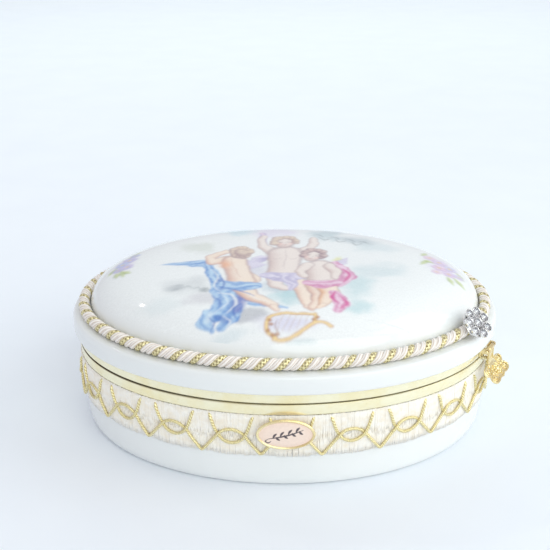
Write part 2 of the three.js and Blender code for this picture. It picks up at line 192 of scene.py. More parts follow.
def rounded(corners, steps=5):
    """Profile through corners (x, y, radius), each corner turned into a smooth bend of that radius."""
    corners = [np.array(c, float) for c in corners]
    out = [corners[0][:2]]
    for before, here, after in zip(corners, corners[1:], corners[2:]):
        p = here[:2]
        back, on = before[:2] - p, after[:2] - p
        room = min(here[2], 0.48 * np.linalg.norm(back), 0.48 * np.linalg.norm(on))
        if room < 1e-6:
            out.append(p)
            continue
        start = p + back / np.linalg.norm(back) * room
        end = p + on / np.linalg.norm(on) * room
        for t in np.linspace(0, 1, steps):
            out.append((1 - t) ** 2 * start + 2 * t * (1 - t) * p + t * t * end)
    out.append(corners[-1][:2])
    return np.array(out)


def closed_profile(corners, steps=5):
    """The same for a profile that closes on itself, starting in the middle of its first side."""
    first, second = np.array(corners[0], float), np.array(corners[1], float)
    middle = (first + second) / 2
    ring = [(middle[0], middle[1], 0)] + list(corners[1:]) + [corners[0], (middle[0], middle[1], 0)]
    return rounded(ring, steps)


def oval_lathe(profile, steps=256):
    """Grid of a profile (half-length, height) turned round the oval."""
    angle = np.linspace(0, TAU, steps + 1)[:, None]
    x = profile[None, :, 0] * np.cos(angle)
    y = half_width(profile[None, :, 0]) * np.sin(angle)
    z = np.broadcast_to(profile[None, :, 1], x.shape)
    return np.stack([x, y, z], -1)


def tube(path, radius, sides=8, up=(0, 0, 1), flat=1.0):
    """Grid of a tube along a path (n, 3). Its section is radius wide and flat times that along up."""
    path = np.asarray(path, float)
    closed = np.allclose(path[0], path[-1])
    if closed:
        ahead = np.roll(path[:-1], -1, 0) - np.roll(path[:-1], 1, 0)
        tangent = np.concatenate([ahead, ahead[:1]])
    else:
        tangent = np.gradient(path, axis=0)
    tangent /= np.linalg.norm(tangent, axis=1)[:, None]
    side = np.cross(np.broadcast_to(np.asarray(up, float), path.shape), tangent)
    side /= np.linalg.norm(side, axis=1)[:, None]
    top = np.cross(tangent, side)
    turn = np.linspace(0, TAU, sides + 1)
    radius = np.broadcast_to(np.asarray(radius, float), (len(path),))[:, None, None]
    ring = np.cos(turn)[None, :, None] * side[:, None] + flat * np.sin(turn)[None, :, None] * top[:, None]
    return path[:, None] + radius * ring


def path_length(path):
    return float(np.linalg.norm(np.diff(path, axis=0), axis=1).sum())


def spline(points, steps=8):
    """Smooth curve through the points (Catmull-Rom), steps to each stretch."""
    p = np.asarray(points, float)
    p = np.concatenate([[2 * p[0] - p[1]], p, [2 * p[-1] - p[-2]]])
    out = []
    t = np.linspace(0, 1, steps, endpoint=False)[:, None]
    for a, b, c, d in zip(p, p[1:], p[2:], p[3:]):
        out.append(0.5 * (2 * b + (c - a) * t + (2 * a - 5 * b + 4 * c - d) * t**2
                          + (3 * b - a - 3 * c + d) * t**3))
    out.append(p[-2][None])
    return np.concatenate(out)


def ball(centre, radius, rows=8, columns=12):
    """Grid of a ball."""
    lat = np.linspace(-math.pi / 2, math.pi / 2, rows + 1)[:, None]
    lon = np.linspace(0, TAU, columns + 1)[None]
    x, y = np.cos(lat) * np.cos(lon), np.cos(lat) * np.sin(lon)
    z = np.broadcast_to(np.sin(lat), x.shape)
    return np.asarray(centre, float) + radius * np.stack([x, y, z], -1)


# ---- Materials ---------------------------------------------------------------------------------

class Material:
    """A Principled material and short calls that add nodes to it."""

    def __init__(self, name, **values):
        self.data = bpy.data.materials.new(name)
        self.data.use_nodes = True
        self.tree = self.data.node_tree
        self.shader = self.tree.nodes["Principled BSDF"]
        for key, value in values.items():
            socket = self.shader.inputs[key.replace("_", " ")]
            socket.default_value = value
        self.where = self.tree.nodes.new("ShaderNodeTexCoord").outputs["Object"]
        self.bump_from = None

    def node(self, kind, inputs=None, **settings):
        item = self.tree.nodes.new(kind)
        for key, value in settings.items():
            setattr(item, key, value)
        for key, value in (inputs or {}).items():
            if isinstance(value, bpy.types.NodeSocket):
                self.tree.links.new(value, item.inputs[key])
            else:
                item.inputs[key].default_value = value
        return item

    def noise(self, size, detail=3.0, rough=0.55, where=None):
        """Noise with features of this size in millimetres, from 0 to 1."""
        inputs = {"Scale": 1 / (size * MM), "Detail": detail, "Roughness": rough}
        inputs["Vector"] = where or self.where
        return self.node("ShaderNodeTexNoise", inputs).outputs["Fac"]

    def math(self, operation, a, b=0.0):
        return self.node("ShaderNodeMath", {0: a, 1: b}, operation=operation).outputs[0]

    def span(self, value, from_low, from_high, to_low, to_high):
        """Value moved from one range to another, held at the ends."""
        inputs = {"Value": value, "From Min": from_low, "From Max": from_high}
        inputs.update({"To Min": to_low, "To Max": to_high})
        return self.node("ShaderNodeMapRange", inputs).outputs["Result"]

    def mix(self, share, a, b, blend="MIX"):
        item = self.tree.nodes.new("ShaderNodeMix")
        item.data_type = "RGBA"
        item.blend_type = blend
        for place, value in ((0, share), (6, a), (7, b)):
            if isinstance(value, bpy.types.NodeSocket):
                self.tree.links.new(value, item.inputs[place])
            elif place:
                item.inputs[place].default_value = (*value, 1)
            else:
                item.inputs[place].default_value = value
        return item.outputs[2]

    def uv(self):
        """The two UV coordinates, in millimetres along the piece and round it."""
        vector = self.node("ShaderNodeUVMap", uv_map="UVMap").outputs["UV"]
        parts = self.node("ShaderNodeSeparateXYZ", {"Vector": vector})
        return parts.outputs["X"], parts.outputs["Y"]

    def wave(self, phase):
        """Sine of a phase counted in turns, from 0 to 1."""
        sine = self.math("SINE", self.math("MULTIPLY", phase, TAU))
        return self.span(sine, -1, 1, 0, 1)

    def colour(self, socket):
        self.tree.links.new(socket, self.shader.inputs["Base Color"])

    def roughness(self, socket):
        self.tree.links.new(socket, self.shader.inputs["Roughness"])

    def bump(self, height, depth, strength=1.0):
        """Adds a bump of this depth in millimetres over the ones before it."""
        inputs = {"Height": height, "Distance": depth * MM, "Strength": strength}
        if self.bump_from is not None:
            inputs["Normal"] = self.bump_from
        self.bump_from = self.node("ShaderNodeBump", inputs).outputs["Normal"]
        self.tree.links.new(self.bump_from, self.shader.inputs["Normal"])


def glaze(name, light=None, shade=None):
    """Glazed porcelain with soft waves in the glaze. With two colours it changes slightly between
    them and has a few pinholes; without them it shows the picture painted on the mesh."""
    m = Material(name, IOR=1.52, Specular_IOR_Level=0.5)
    if light is None:
        paint = m.node("ShaderNodeVertexColor", layer_name="picture").outputs["Color"]
        grain = m.span(m.noise(0.9, 4.0, 0.7), 0.3, 0.7, 0.95, 1.04)
        m.colour(m.mix(1.0, paint, grain, "MULTIPLY"))
    else:
        base = m.mix(m.span(m.noise(38, 2.0), 0.35, 0.7, 0, 1), light, shade)
        speck = m.span(m.noise(1.6, 1.0), 0.76, 0.82, 0, 1)
        m.colour(m.mix(m.math("MULTIPLY", speck, 0.12), base, (0.62, 0.6, 0.56)))
    m.roughness(m.span(m.noise(9, 4.0), 0.3, 0.75, 0.03, 0.1))
    m.bump(m.noise(7.5, 2.0), 0.06, 0.25)
    m.bump(m.noise(1.3, 2.0), 0.012, 0.2)
    return m.data


def brass_metal(name, light, shade, rough=(0.1, 0.26), brushed=True, metal=1.0):
    """Polished metal with faint tarnish and small dents. The bands are brushed: they have fine drawn
    lines, and painted shadow along the seam between them, for the dark gap there, which fades towards the
    clasp."""
    m = Material(name, Metallic=metal)
    tarnish = m.span(m.noise(14, 5.0, 0.62), 0.42, 0.72, 0, 1)
    base = m.mix(tarnish, light, shade)
    spots = m.span(m.noise(2.2, 3.0), 0.66, 0.76, 0, 0.35)
    base = m.mix(spots, base, tuple(c * 0.62 for c in shade))
    if brushed:
        along, _, height = m.node("ShaderNodeSeparateXYZ", {"Vector": m.where}).outputs
        from_seam = m.math("ABSOLUTE", m.math("SUBTRACT", height, SEAM_HEIGHT * MM))
        # Painted shadow: the gap between the bands is darkened into the colour along the seam, strongest at
        # the -X end.
        seam_shadow_strength = m.span(along, -85 * MM, -25 * MM, 0.92, 0.3)
        edge = m.span(from_seam, 0.4 * MM, 0.8 * MM, 1, 0)
        base = m.mix(m.math("MULTIPLY", edge, seam_shadow_strength), base, (0.12, 0.08, 0.03))
    m.colour(base)
    fine = m.noise(0.7, 4.0, 0.7)
    m.roughness(m.span(m.math("ADD", m.math("MULTIPLY", tarnish, 0.5), fine), 0.3, 1.2, *rough))
    if brushed:
        drawn = m.node("ShaderNodeMapping", {"Vector": m.where, "Scale": (0.06, 0.06, 1.0)})
        m.bump(m.noise(0.18, 2.0, 0.5, drawn.outputs[0]), 0.004, 0.35)
    m.bump(m.noise(5.5, 2.0), 0.05, 0.2)
    return m.data


def thread(name, light, shade, turns, per_mm, metal=0.0, rough=0.42, depth=0.12, cross=0.0):
    """Cord or ply wound from fine threads: stripes that run round it at a slant."""
    m = Material(name, Metallic=metal, Sheen_Weight=0.0 if metal else 0.35, Sheen_Roughness=0.4)
    along, around = m.uv()
    phase = m.math("ADD", m.math("MULTIPLY", along, per_mm), m.math("MULTIPLY", around, turns))
    stripe = m.wave(phase)
    if cross:
        back = m.math("MULTIPLY", around, -turns)
        other = m.wave(m.math("ADD", m.math("MULTIPLY", along, cross), back))
        stripe = m.math("MULTIPLY", m.math("ADD", stripe, other), 0.5)
    worn = m.noise(1.1, 3.0)
    # Painted shade: the grooves between the threads take the shade colour, more or less as the noise varies.
    groove_shade = m.math("MULTIPLY", m.span(stripe, 0.0, 0.75, 1, 0), m.span(worn, 0.2, 0.8, 0.6, 1.0))
    m.colour(m.mix(groove_shade, light, shade))
    m.roughness(m.span(worn, 0.3, 0.7, rough - 0.08, rough + 0.12))
    m.bump(stripe, depth, 0.8)
    m.bump(m.noise(0.25, 2.0), 0.03, 0.4)
    return m.data


def ribbon_cloth(name, light, shade):
    """White satin fringe: fine threads along each strand, and a soft change of tone."""
    m = Material(name, Sheen_Weight=0.3, Sheen_Roughness=0.5)
    lines = m.wave(m.math("MULTIPLY", m.uv()[1], 3.0))
    tone = m.noise(3.2, 3.0)
    m.colour(m.mix(m.span(tone, 0.4, 0.68, 0, 1), light, shade))
    m.roughness(m.span(tone, 0.3, 0.7, 0.42, 0.62))
    m.bump(lines, 0.04, 0.5)
    m.bump(m.noise(0.35, 2.0), 0.04, 0.5)
    return m.data


def floor_paper(name):
    """Pale studio paper with a barely visible grain."""
    m = Material(name, Specular_IOR_Level=0.35)
    tone = m.noise(60, 3.0)
    m.colour(m.mix(m.span(tone, 0.3, 0.7, 0, 1), (0.88, 0.92, 0.97), (0.86, 0.9, 0.955)))
    m.roughness(m.span(m.noise(3, 3.0), 0.3, 0.7, 0.5, 0.62))
    m.bump(m.noise(0.8, 3.0), 0.03, 0.2)
    return m.data


def crystal_glass(name):
    """Clear cut glass with a grey tint that varies from stone to stone."""
    m = Material(name, IOR=1.58, Transmission_Weight=1.0)
    tint = m.noise(5, 1.0)
    m.colour(m.mix(tint, (0.9, 0.9, 0.91), (0.66, 0.67, 0.7)))
    m.roughness(m.span(m.noise(0.8, 2.0), 0.4, 0.8, 0.0, 0.05))
    return m.data


white_glaze = glaze("white_glaze", WHITE, (0.84, 0.868, 0.863))
picture_glaze = glaze("picture_glaze")
plaque_glaze = glaze("plaque_glaze")
brass = brass_metal("brass_bands", (0.98, 0.93, 0.68), (0.95, 0.84, 0.5), (0.14, 0.3), metal=0.6)
gilt = brass_metal("gilt_filigree", (0.97, 0.85, 0.5), (0.78, 0.58, 0.26), (0.16, 0.34), False, 0.8)
silver = brass_metal("silver_cups", (0.9, 0.9, 0.9), (0.74, 0.73, 0.72), (0.08, 0.22), False)
crystal = crystal_glass("cut_crystal")
satin_ply = thread("satin_ply", (0.95, 0.91, 0.86), (0.68, 0.57, 0.48), 6.0, 0.42, rough=0.36)
gold_ply = thread("gold_ply", (0.95, 0.86, 0.5), (0.17, 0.11, 0.02), 3.0, 1.2, 0.7, 0.3, 0.3, cross=0.8)
gold_thread = thread("gold_thread", (0.99, 0.92, 0.54), (0.56, 0.4, 0.14), 2.0, 1.4, 0.6, 0.28)
fringe = ribbon_cloth("fringe", (0.98, 0.95, 0.88), (0.93, 0.86, 0.73))


# ---- Porcelain ---------------------------------------------------------------------------------

def dome_height(half_length):
    """Height of the dome over the oval of this half-length."""
    share = np.clip(np.asarray(half_length, float) / DOME_EDGE, 0, 1)
    return DOME_FOOT + DOME_RISE * (1 - share**5) ** 0.42


def make_bowl():
    """The bowl: a foot ring, a nearly upright wall and a plain rim."""
    outer = [
        (0.0, 0.0, 0), (90.0, 0.0, 0.6), (91.0, 0.5, 0.6), (93.6, 0.5, 0.6), (94.4, 0.0, 0.4),
        (95.4, 0.0, 0.6),
        (97.0, 0.9, 2.0), (98.2, 3.8, 3.0), (98.8, 9.0, 4.0), (RIM_OUTER, 16.0, 5.0),
        (RIM_OUTER, BOWL_RIM, 0.5), (RIM_INNER, BOWL_RIM, 0.5), (94.6, 14.0, 5.0), (93.0, 8.8, 4.0),
        (88.6, 5.8, 4.0), (82.0, 4.8, 3.0), (0.0, 4.8, 0),
    ]
    piece = Piece().grid(oval_lathe(rounded(outer)))
    piece.build("bowl_glazed", "base", white_glaze, "porcelain", ["bowl"])


def make_lid():
    """The lid: a rim for the band, a rolled flange, a groove for the rope, and the dome."""
    under = [
        (0.0, LID_TOP - 3.8, 0), (48.0, 73.4, 20), (70.0, 71.2, 8), (80.0, 68.7, 5), (86.0, 65.2, 4),
        (89.8, 59.8, 3), (92.4, 56.0, 3), (94.4, 52.4, 3),
        (RIM_INNER, LID_RIM, 0.5), (RIM_OUTER, LID_RIM, 0.5), (RIM_OUTER, FLANGE_BASE, 0.3),
        (101.9, FLANGE_BASE, 0.5), (FLANGE_OUTER, FLANGE_BASE + 0.9, 0.9),
        (FLANGE_OUTER, FLANGE_TOP - 2.4, 2.0),
        (101.8, FLANGE_TOP - 0.4, 1.4), (99.6, FLANGE_TOP, 1.2), (94.3, FLANGE_TOP, 0.5),
        (DOME_EDGE, DOME_FOOT, 0.2),
    ]
    half_length = DOME_EDGE * np.cos(np.linspace(0, math.pi / 2, 48)[1:]) ** 0.6
    half_length[-1] = 0
    dome = np.stack([half_length, dome_height(half_length)], 1)
    profile = np.concatenate([rounded(under), dome])
    piece = Piece().grid(oval_lathe(profile))
    piece.build("lid_glazed", "cover", white_glaze, "porcelain", ["lid"])


def make_band(name, body, node, outwards):
    """Brass channel over a porcelain rim. outwards is +1 for the bowl's band and -1 for the lid's."""
    bottom, top = low(node)[2], high(node)[2]
    part_line, far = (top, bottom) if outwards > 0 else (bottom, top)
    web, lip = part_line - outwards * 0.7, part_line - outwards * 3.1
    mouth, lip_back, wall = 93.6, 94.3, RIM_OUTER + 0.3
    corners = [
        (HALF_LENGTH, far, 0.25), (HALF_LENGTH, part_line, 0.45), (mouth, part_line, 0.35),
        (mouth, lip, 0.25), (lip_back, lip, 0.25), (lip_back, web, 0.15), (wall, web, 0.15),
        (wall, far, 0.25),
    ]
    piece = Piece().grid(oval_lathe(closed_profile(corners)))
    piece.build(name, body, brass, "brass", [node])


# ---- Rope --------------------------------------------------------------------------------------

ROPE_TURNS = 58
PLY_RADIUS = ROPE_RADIUS / 2.155  # three plies that touch just fit the rope's radius
PLY_ORBIT = 1.155 * PLY_RADIUS


def make_rope():
    """Three plies twisted together round the dome: two of satin, one of gold thread."""
    oval = Oval(ROPE_RING)
    share = np.linspace(0, 1, ROPE_TURNS * 16 + 1)
    for name, plies, material, slot in (
        ("rope_satin_plies", (0, 1), satin_ply, "rope"), ("rope_gold_ply", (2,), gold_ply, "gold_cord"),
    ):
        piece = Piece()
        for ply in plies:
            turn = TAU * (share * ROPE_TURNS + ply / 3)
            x, y = oval.point(share, PLY_ORBIT * np.cos(turn))
            path = np.stack([x, y, ROPE_HEIGHT + PLY_ORBIT * np.sin(turn)], 1)
            path[-1] = path[0]
            piece.grid(tube(path, PLY_RADIUS * 1.02, 14), (oval.length, 1.0))
        piece.build(name, "cover", material, slot, ["rope_trim"])


# ---- Braid -------------------------------------------------------------------------------------

MOTIF_START = 0.75 - 10.7 / 561  # where the first repeat starts, about 10 mm left of the front's middle
EYE_HALF = 0.22  # half the eye's width, as a share of a repeat
CROSSING = RIBBON_FOOT + 10.1  # height where the two cords cross
CORD_RADIUS = 0.66
STRANDS = 50  # strands of fringe to a repeat, in each layer


def lower_cord_height(share):
    """Over the top of each eye, and down to a point between eyes."""
    middle = np.abs(np.mod(share, 1) - 0.5)
    eye = CROSSING + 2.7 * np.clip(1 - (middle / EYE_HALF) ** 2, 0, 1) ** 0.8
    point = CROSSING - 9.1 * (middle - EYE_HALF) / (0.5 - EYE_HALF)
    return np.where(middle < EYE_HALF, eye, point)


def upper_cord_height(share):
    """Under the foot of each eye, and up two arms to the band between eyes."""
    middle = np.abs(np.mod(share, 1) - 0.5)
    eye = CROSSING - 3.7 * np.clip(1 - (middle / EYE_HALF) ** 2, 0, 1) ** 0.8
    arm = CROSSING + 10.1 * np.clip((middle - EYE_HALF) / 0.135, 0, 1) ** 1.5
    return np.where(middle < EYE_HALF, eye, arm)


def soften(values, width):
    """Closed run of values averaged over a small window."""
    window = np.hanning(width + 2)[1:-1]
    wrapped = np.concatenate([values[-width:], values, values[:width]])
    return np.convolve(wrapped, window / window.sum(), "same")[width:-width]


def make_cord(name, node, height_at, weave):
    """Round gold cord sewn along the ribbon. weave is the side it takes at the first crossing."""
    steps = 48  # points to a repeat
    count = MOTIFS * steps
    motif = np.arange(count) / steps
    wobble = 0.25 * np.sin(motif * 2.1 + weave) + 0.2 * np.sin(motif * 5.3)
    height = soften(height_at(motif), 5) + wobble
    phase = np.mod(motif, 1)
    first = np.exp(-(((phase - 0.5 + EYE_HALF) / 0.05) ** 2))
    second = np.exp(-(((phase - 0.5 - EYE_HALF) / 0.05) ** 2))
    reach = 1.5 + weave * 0.5 * (first - second)
    reach -= 1.5 * smooth_step(RIBBON_TOP - 2.0, RIBBON_TOP - 0.6, height)
    x, y = Oval(RIBBON_INNER).point(MOTIF_START + motif / MOTIFS, reach)
    path = np.stack([x, y, np.minimum(height, RIBBON_TOP - 0.5)], 1)
    path = np.concatenate([path, path[:1]])
    outward = np.stack([x / HALF_LENGTH**2, y / HALF_WIDTH**2, np.zeros(count)], 1)
    outward = np.concatenate([outward, outward[:1]])
    piece = Piece().grid(tube(path, CORD_RADIUS, 10, outward), (path_length(path), 1.0))
    piece.build(name, "base", gold_thread, "gold_cord", [node])


def make_ribbon():
    """Ribbon of fine strands: an upper fringe and, under it, fans that end in soft scallops."""
    rng = np.random.default_rng(21)
    inner = Oval(RIBBON_INNER)
    face, upper, lower = RIBBON_INNER + 0.32, RIBBON_TOP - 0.4, RIBBON_FOOT + 3.4
    backing = closed_profile([
        (RIBBON_INNER, upper, 0.1), (RIBBON_INNER, lower, 0.1), (face, lower, 0.1), (face, upper, 0.1),
    ], 2)
    piece = Piece().grid(oval_lathe(backing, 192), (560, 22))
    for layer in ("lower", "upper"):
        for i in range(MOTIFS * STRANDS):
            motif = (i + rng.uniform(-0.2, 0.2)) / STRANDS
            phase = motif % 1
            fan = math.sin(math.pi * phase)
            if layer == "lower":
                top = CROSSING + 3.0 + rng.uniform(-1.2, 1.2)
                foot = RIBBON_FOOT + 0.95 - 1.0 * fan**0.7 + rng.uniform(-0.3, 0.3)
                lean = 1.5 * (phase - 0.5) * (1 - 0.6 * fan) + rng.uniform(-0.12, 0.12)
                reach = np.array([0.35, 0.6, 0.68, 0.62, 0.42])
            else:
                top = RIBBON_TOP + 0.3 + rng.uniform(-0.15, 0.12)
                foot = CROSSING - 1.4 - 0.9 * math.cos(TAU * phase) + rng.uniform(-2.4, 2.4)
                lean = rng.uniform(-0.15, 0.15)
                reach = np.array([0.72, 0.88, 0.95, 0.88, 0.66])
            drop = np.linspace(0, 1, len(reach))
            share = MOTIF_START + motif / MOTIFS + lean * drop**1.5 / inner.length
            x, y = inner.point(share, reach + rng.uniform(-0.05, 0.05))
            path = np.stack([x, y, top + (foot - top) * drop], 1)
            width = rng.uniform(0.33, 0.42) * np.array([1.0, 1.0, 1.0, 1.0, 0.75])
            outward = (x[0] / HALF_LENGTH**2, y[0] / HALF_WIDTH**2, 0)
            piece.grid(tube(path, width, 6, outward, flat=0.55), (top - foot, 1.0), caps=True)
    piece.build("fringed_ribbon", "base", fringe, "ribbon", ["braid_ribbon"])


# ---- Plaque ------------------------------------------------------------------------------------

def make_plaque():
    """Slightly domed oval plaque with a small painted sprig, in a gilt rim."""
    rings, steps = 84, 168
    ring = np.linspace(0, 1, rings + 1)
    angle = np.linspace(0, TAU, steps + 1)
    x = PLAQUE_HALF[0] * ring[:, None] * np.cos(angle)
    z = PLAQUE_HALF[1] * ring[:, None] * np.sin(angle)
    crown = 0.55 + 0.75 * np.sqrt(np.clip(1 - (0.97 * ring) ** 2, 0, 1))
    y = np.broadcast_to(-PLAQUE_BACK - crown[:, None], x.shape)
    front = np.stack([x + PLAQUE[0], y, z + PLAQUE[2]], -1)
    back = front[-1:].copy()
    back[..., 1] = -PLAQUE_BACK
    middle = np.broadcast_to([PLAQUE[0], -PLAQUE_BACK, PLAQUE[2]], back.shape)
    points = np.concatenate([front, back, middle])
    flat_x, flat_z = (np.append(flat, [flat[-1], flat[-1] * 0], 0) for flat in (x, z))
    canvas = Canvas(flat_x, flat_z, (0.93, 0.76, 0.65))
    paint_plaque(canvas)
    piece = Piece().grid(points, (1, 1))
    piece.build("plaque_glazed", "base", plaque_glaze, "plaque_glaze", ["plaque"],
                colours=canvas.rgb.reshape(-1, 3))
    half = (high("plaque_rim") - low("plaque_rim"))[[0, 2]] / 2 - 0.55
    path = np.stack([
        PLAQUE[0] + half[0] * np.cos(angle), np.full_like(angle, -PLAQUE_BACK - 0.62),
        PLAQUE[2] + half[1] * np.sin(angle),
    ], 1)
    path[-1] = path[0]
    rim = Piece().grid(tube(path, 0.62, 10, (0, 1, 0)), (path_length(path), 1))
    bead = tube(path + np.array([0, -0.42, 0]), 0.22, 8, (0, 1, 0))
    rim.grid(bead, (path_length(path), 1))
    rim.build("plaque_bezel", "base", gilt, "brass", ["plaque_rim"])


# ---- Painting ----------------------------------------------------------------------------------

class Canvas:
    """Colours at points (x, y) in millimetres, painted over a ground with soft brushes."""

    def __init__(self, x, y, ground):
        self.x, self.y = np.asarray(x, float), np.asarray(y, float)
        self.rgb = np.broadcast_to(np.array(ground, float), (*self.x.shape, 3)).copy()
        self.grain = self.cloud(2.2, 5) * 0.6 + self.cloud(0.9, 6) * 0.4

    def cloud(self, size, seed):
        """Smooth noise from 0 to 1 with features of this size."""
        rng = np.random.default_rng(seed)
        total, weight = np.zeros(self.x.shape), 0.0
        for octave in range(3):
            cells = rng.random((64, 64))
            u = self.x / size * 2**octave + 31.7
            v = self.y / size * 2**octave + 17.3
            i, j = np.floor(u).astype(int), np.floor(v).astype(int)
            fu, fv = u - i, v - j
            fu, fv = fu * fu * (3 - 2 * fu), fv * fv * (3 - 2 * fv)
            a, b = cells[i % 64, j % 64], cells[(i + 1) % 64, j % 64]
            c, d = cells[i % 64, (j + 1) % 64], cells[(i + 1) % 64, (j + 1) % 64]
            total += ((a * (1 - fu) + b * fu) * (1 - fv) + (c * (1 - fu) + d * fu) * fv) / 2**octave
            weight += 1 / 2**octave
        return total / weight

    def lay(self, alpha, colour):
        """Puts a colour, or an array of colours, over the canvas where alpha says."""
        alpha = np.clip(alpha, 0, 1)[..., None]
        self.rgb = self.rgb * (1 - alpha) + np.asarray(colour, float) * alpha

    def nearest(self, points, radii):
        """Offset from the nearest point of a tapering line, in radii of the line there."""
        points = np.asarray(points, float)
        radii = np.broadcast_to(np.asarray(radii, float), (len(points),))
        if len(points) == 1:
            return (self.x - points[0, 0]) / radii[0], (self.y - points[0, 1]) / radii[0]
        best = np.full(self.x.shape, 1e9)
        ox, oy = np.zeros(self.x.shape), np.zeros(self.x.shape)
        for p, q, r, s in zip(points, points[1:], radii, radii[1:]):
            d = q - p
            t = np.clip(((self.x - p[0]) * d[0] + (self.y - p[1]) * d[1]) / max(d @ d, 1e-9), 0, 1)
            radius = r + (s - r) * t
            dx, dy = (self.x - p[0] - t * d[0]) / radius, (self.y - p[1] - t * d[1]) / radius
            away = np.hypot(dx, dy)
            closer = away < best
            best = np.where(closer, away, best)
            ox, oy = np.where(closer, dx, ox), np.where(closer, dy, oy)
        return ox, oy

    def form(self, points, radii, light, shade, edge=None, opacity=1.0, soft=0.16):
        """A rounded limb or body: lit from the upper right, with a thin darker edge."""
        ox, oy = self.nearest(points, radii)
        away = np.hypot(ox, oy)
        height = np.sqrt(np.clip(1 - away**2, 0, 1))
        lit = np.clip(0.34 * ox + 0.42 * oy + 0.84 * height, 0, 1) + 0.16 * (self.grain - 0.5)
        lit = smooth_step(0.15, 0.95, lit)[..., None]
        colour = np.asarray(shade) * (1 - lit) + np.asarray(light) * lit
        if edge is not None:
            rim = smooth_step(0.72, 1.0, away)[..., None] * 0.75
            colour = colour * (1 - rim) + np.asarray(edge) * rim
        self.lay(opacity * smooth_step(1 + soft, 1 - soft, away), colour)

    def cloth(self, points, radii, light, shade, folds=3.0, seed=3, opacity=1.0):
        """A length of drapery with folds that run along it."""
        ox, oy = self.nearest(points, radii)
        away = np.hypot(ox, oy)
        direction = np.asarray(points[-1], float) - np.asarray(points[0], float)
        direction /= np.linalg.norm(direction)
        across = ox * -direction[1] + oy * direction[0]
        warp = 11 * self.cloud(7.0, seed) + 4 * self.cloud(3.0, seed + 4)
        ripple = np.sin(across * folds * 1.5 + warp)
        lit = 0.58 + 0.34 * ripple * (0.4 + self.cloud(5.0, seed + 7)) + 0.16 * oy + 0.2 * (self.grain - 0.5)
        lit = np.clip(lit, 0, 1)[..., None]
        colour = np.asarray(shade) * (1 - lit) + np.asarray(light) * lit
        rim = smooth_step(0.7, 1.0, away)[..., None] * 0.35
        colour = colour * (1 - rim) + np.asarray(shade) * rim
        ragged = away + 0.22 * (self.cloud(3.0, seed + 9) - 0.5)
        self.lay(opacity * smooth_step(1.08, 0.9, ragged), colour)

    def wash(self, centre, half, colour, opacity=0.5, turn=0.0, seed=1, ragged=0.8):
        """A thin cloudy patch of colour."""
        c, s = math.cos(math.radians(turn)), math.sin(math.radians(turn))
        dx, dy = self.x - centre[0], self.y - centre[1]
        u, v = (dx * c + dy * s) / half[0], (dy * c - dx * s) / half[1]
        away = np.hypot(u, v) + ragged * (self.cloud(max(half) * 0.45, seed) - 0.5)
        self.lay(opacity * smooth_step(1.1, 0.25, away) * (0.8 + 0.4 * self.grain), colour)

    def stroke(self, points, width, colour, opacity=1.0, taper=True):
        """A brush line along a smooth curve, thin at its ends."""
        path = spline(points, 5) if len(points) > 2 else np.asarray(points, float)
        share = np.linspace(0, 1, len(path))
        radii = width / 2 * ((0.35 + 0.65 * np.sin(math.pi * share)) if taper else np.ones(len(path)))
        ox, oy = self.nearest(path, radii)
        self.lay(opacity * smooth_step(1.25, 0.6, np.hypot(ox, oy)), colour)


def paint_plaque(canvas):
    """A small leafy sprig in dark enamel, and a warm shade towards the rim."""
    ink = (0.1, 0.08, 0.09)
    edge = np.hypot(canvas.x / PLAQUE_HALF[0], canvas.y / PLAQUE_HALF[1])
    canvas.lay(0.3 * smooth_step(0.6, 1.0, edge), (0.9, 0.66, 0.53))
    canvas.stroke([(-7.4, -1.8), (-2.6, -0.9), (2.2, 0.4), (7.4, 2.4)], 0.8, ink)
    for leaf, share in enumerate((0.1, 0.2, 0.33, 0.45, 0.58, 0.7, 0.82, 0.92)):
        side = (-1) ** leaf
        root = np.array([-6.8 + 13.6 * share, -1.75 + 4.0 * share])
        tip = root + np.array([1.5, side * 1.8 + 0.3])
        canvas.stroke([root, (root + tip) / 2 + np.array([-0.15, side * 0.16]), tip], 1.1, ink)
    canvas.stroke([(-7.4, -1.8), (-8.7, -3.0), (-7.4, -3.9), (-6.2, -2.8)], 0.6, ink)


def oval_reach(x, y):
    """Half length of the dome's oval that passes through (x, y)."""
    inner = np.hypot(x, y * CORE / (CORE - STEP))
    near, far = np.full(x.shape, CORE * 1.0), np.full(x.shape, CORE * 2.0)
    for _ in range(40):
        middle = (near + far) / 2
        outside = (x / middle) ** 2 + (y / (middle - STEP)) ** 2 > 1
        near, far = np.where(outside, middle, near), np.where(outside, far, middle)
    return np.where(inner > CORE, far, inner)


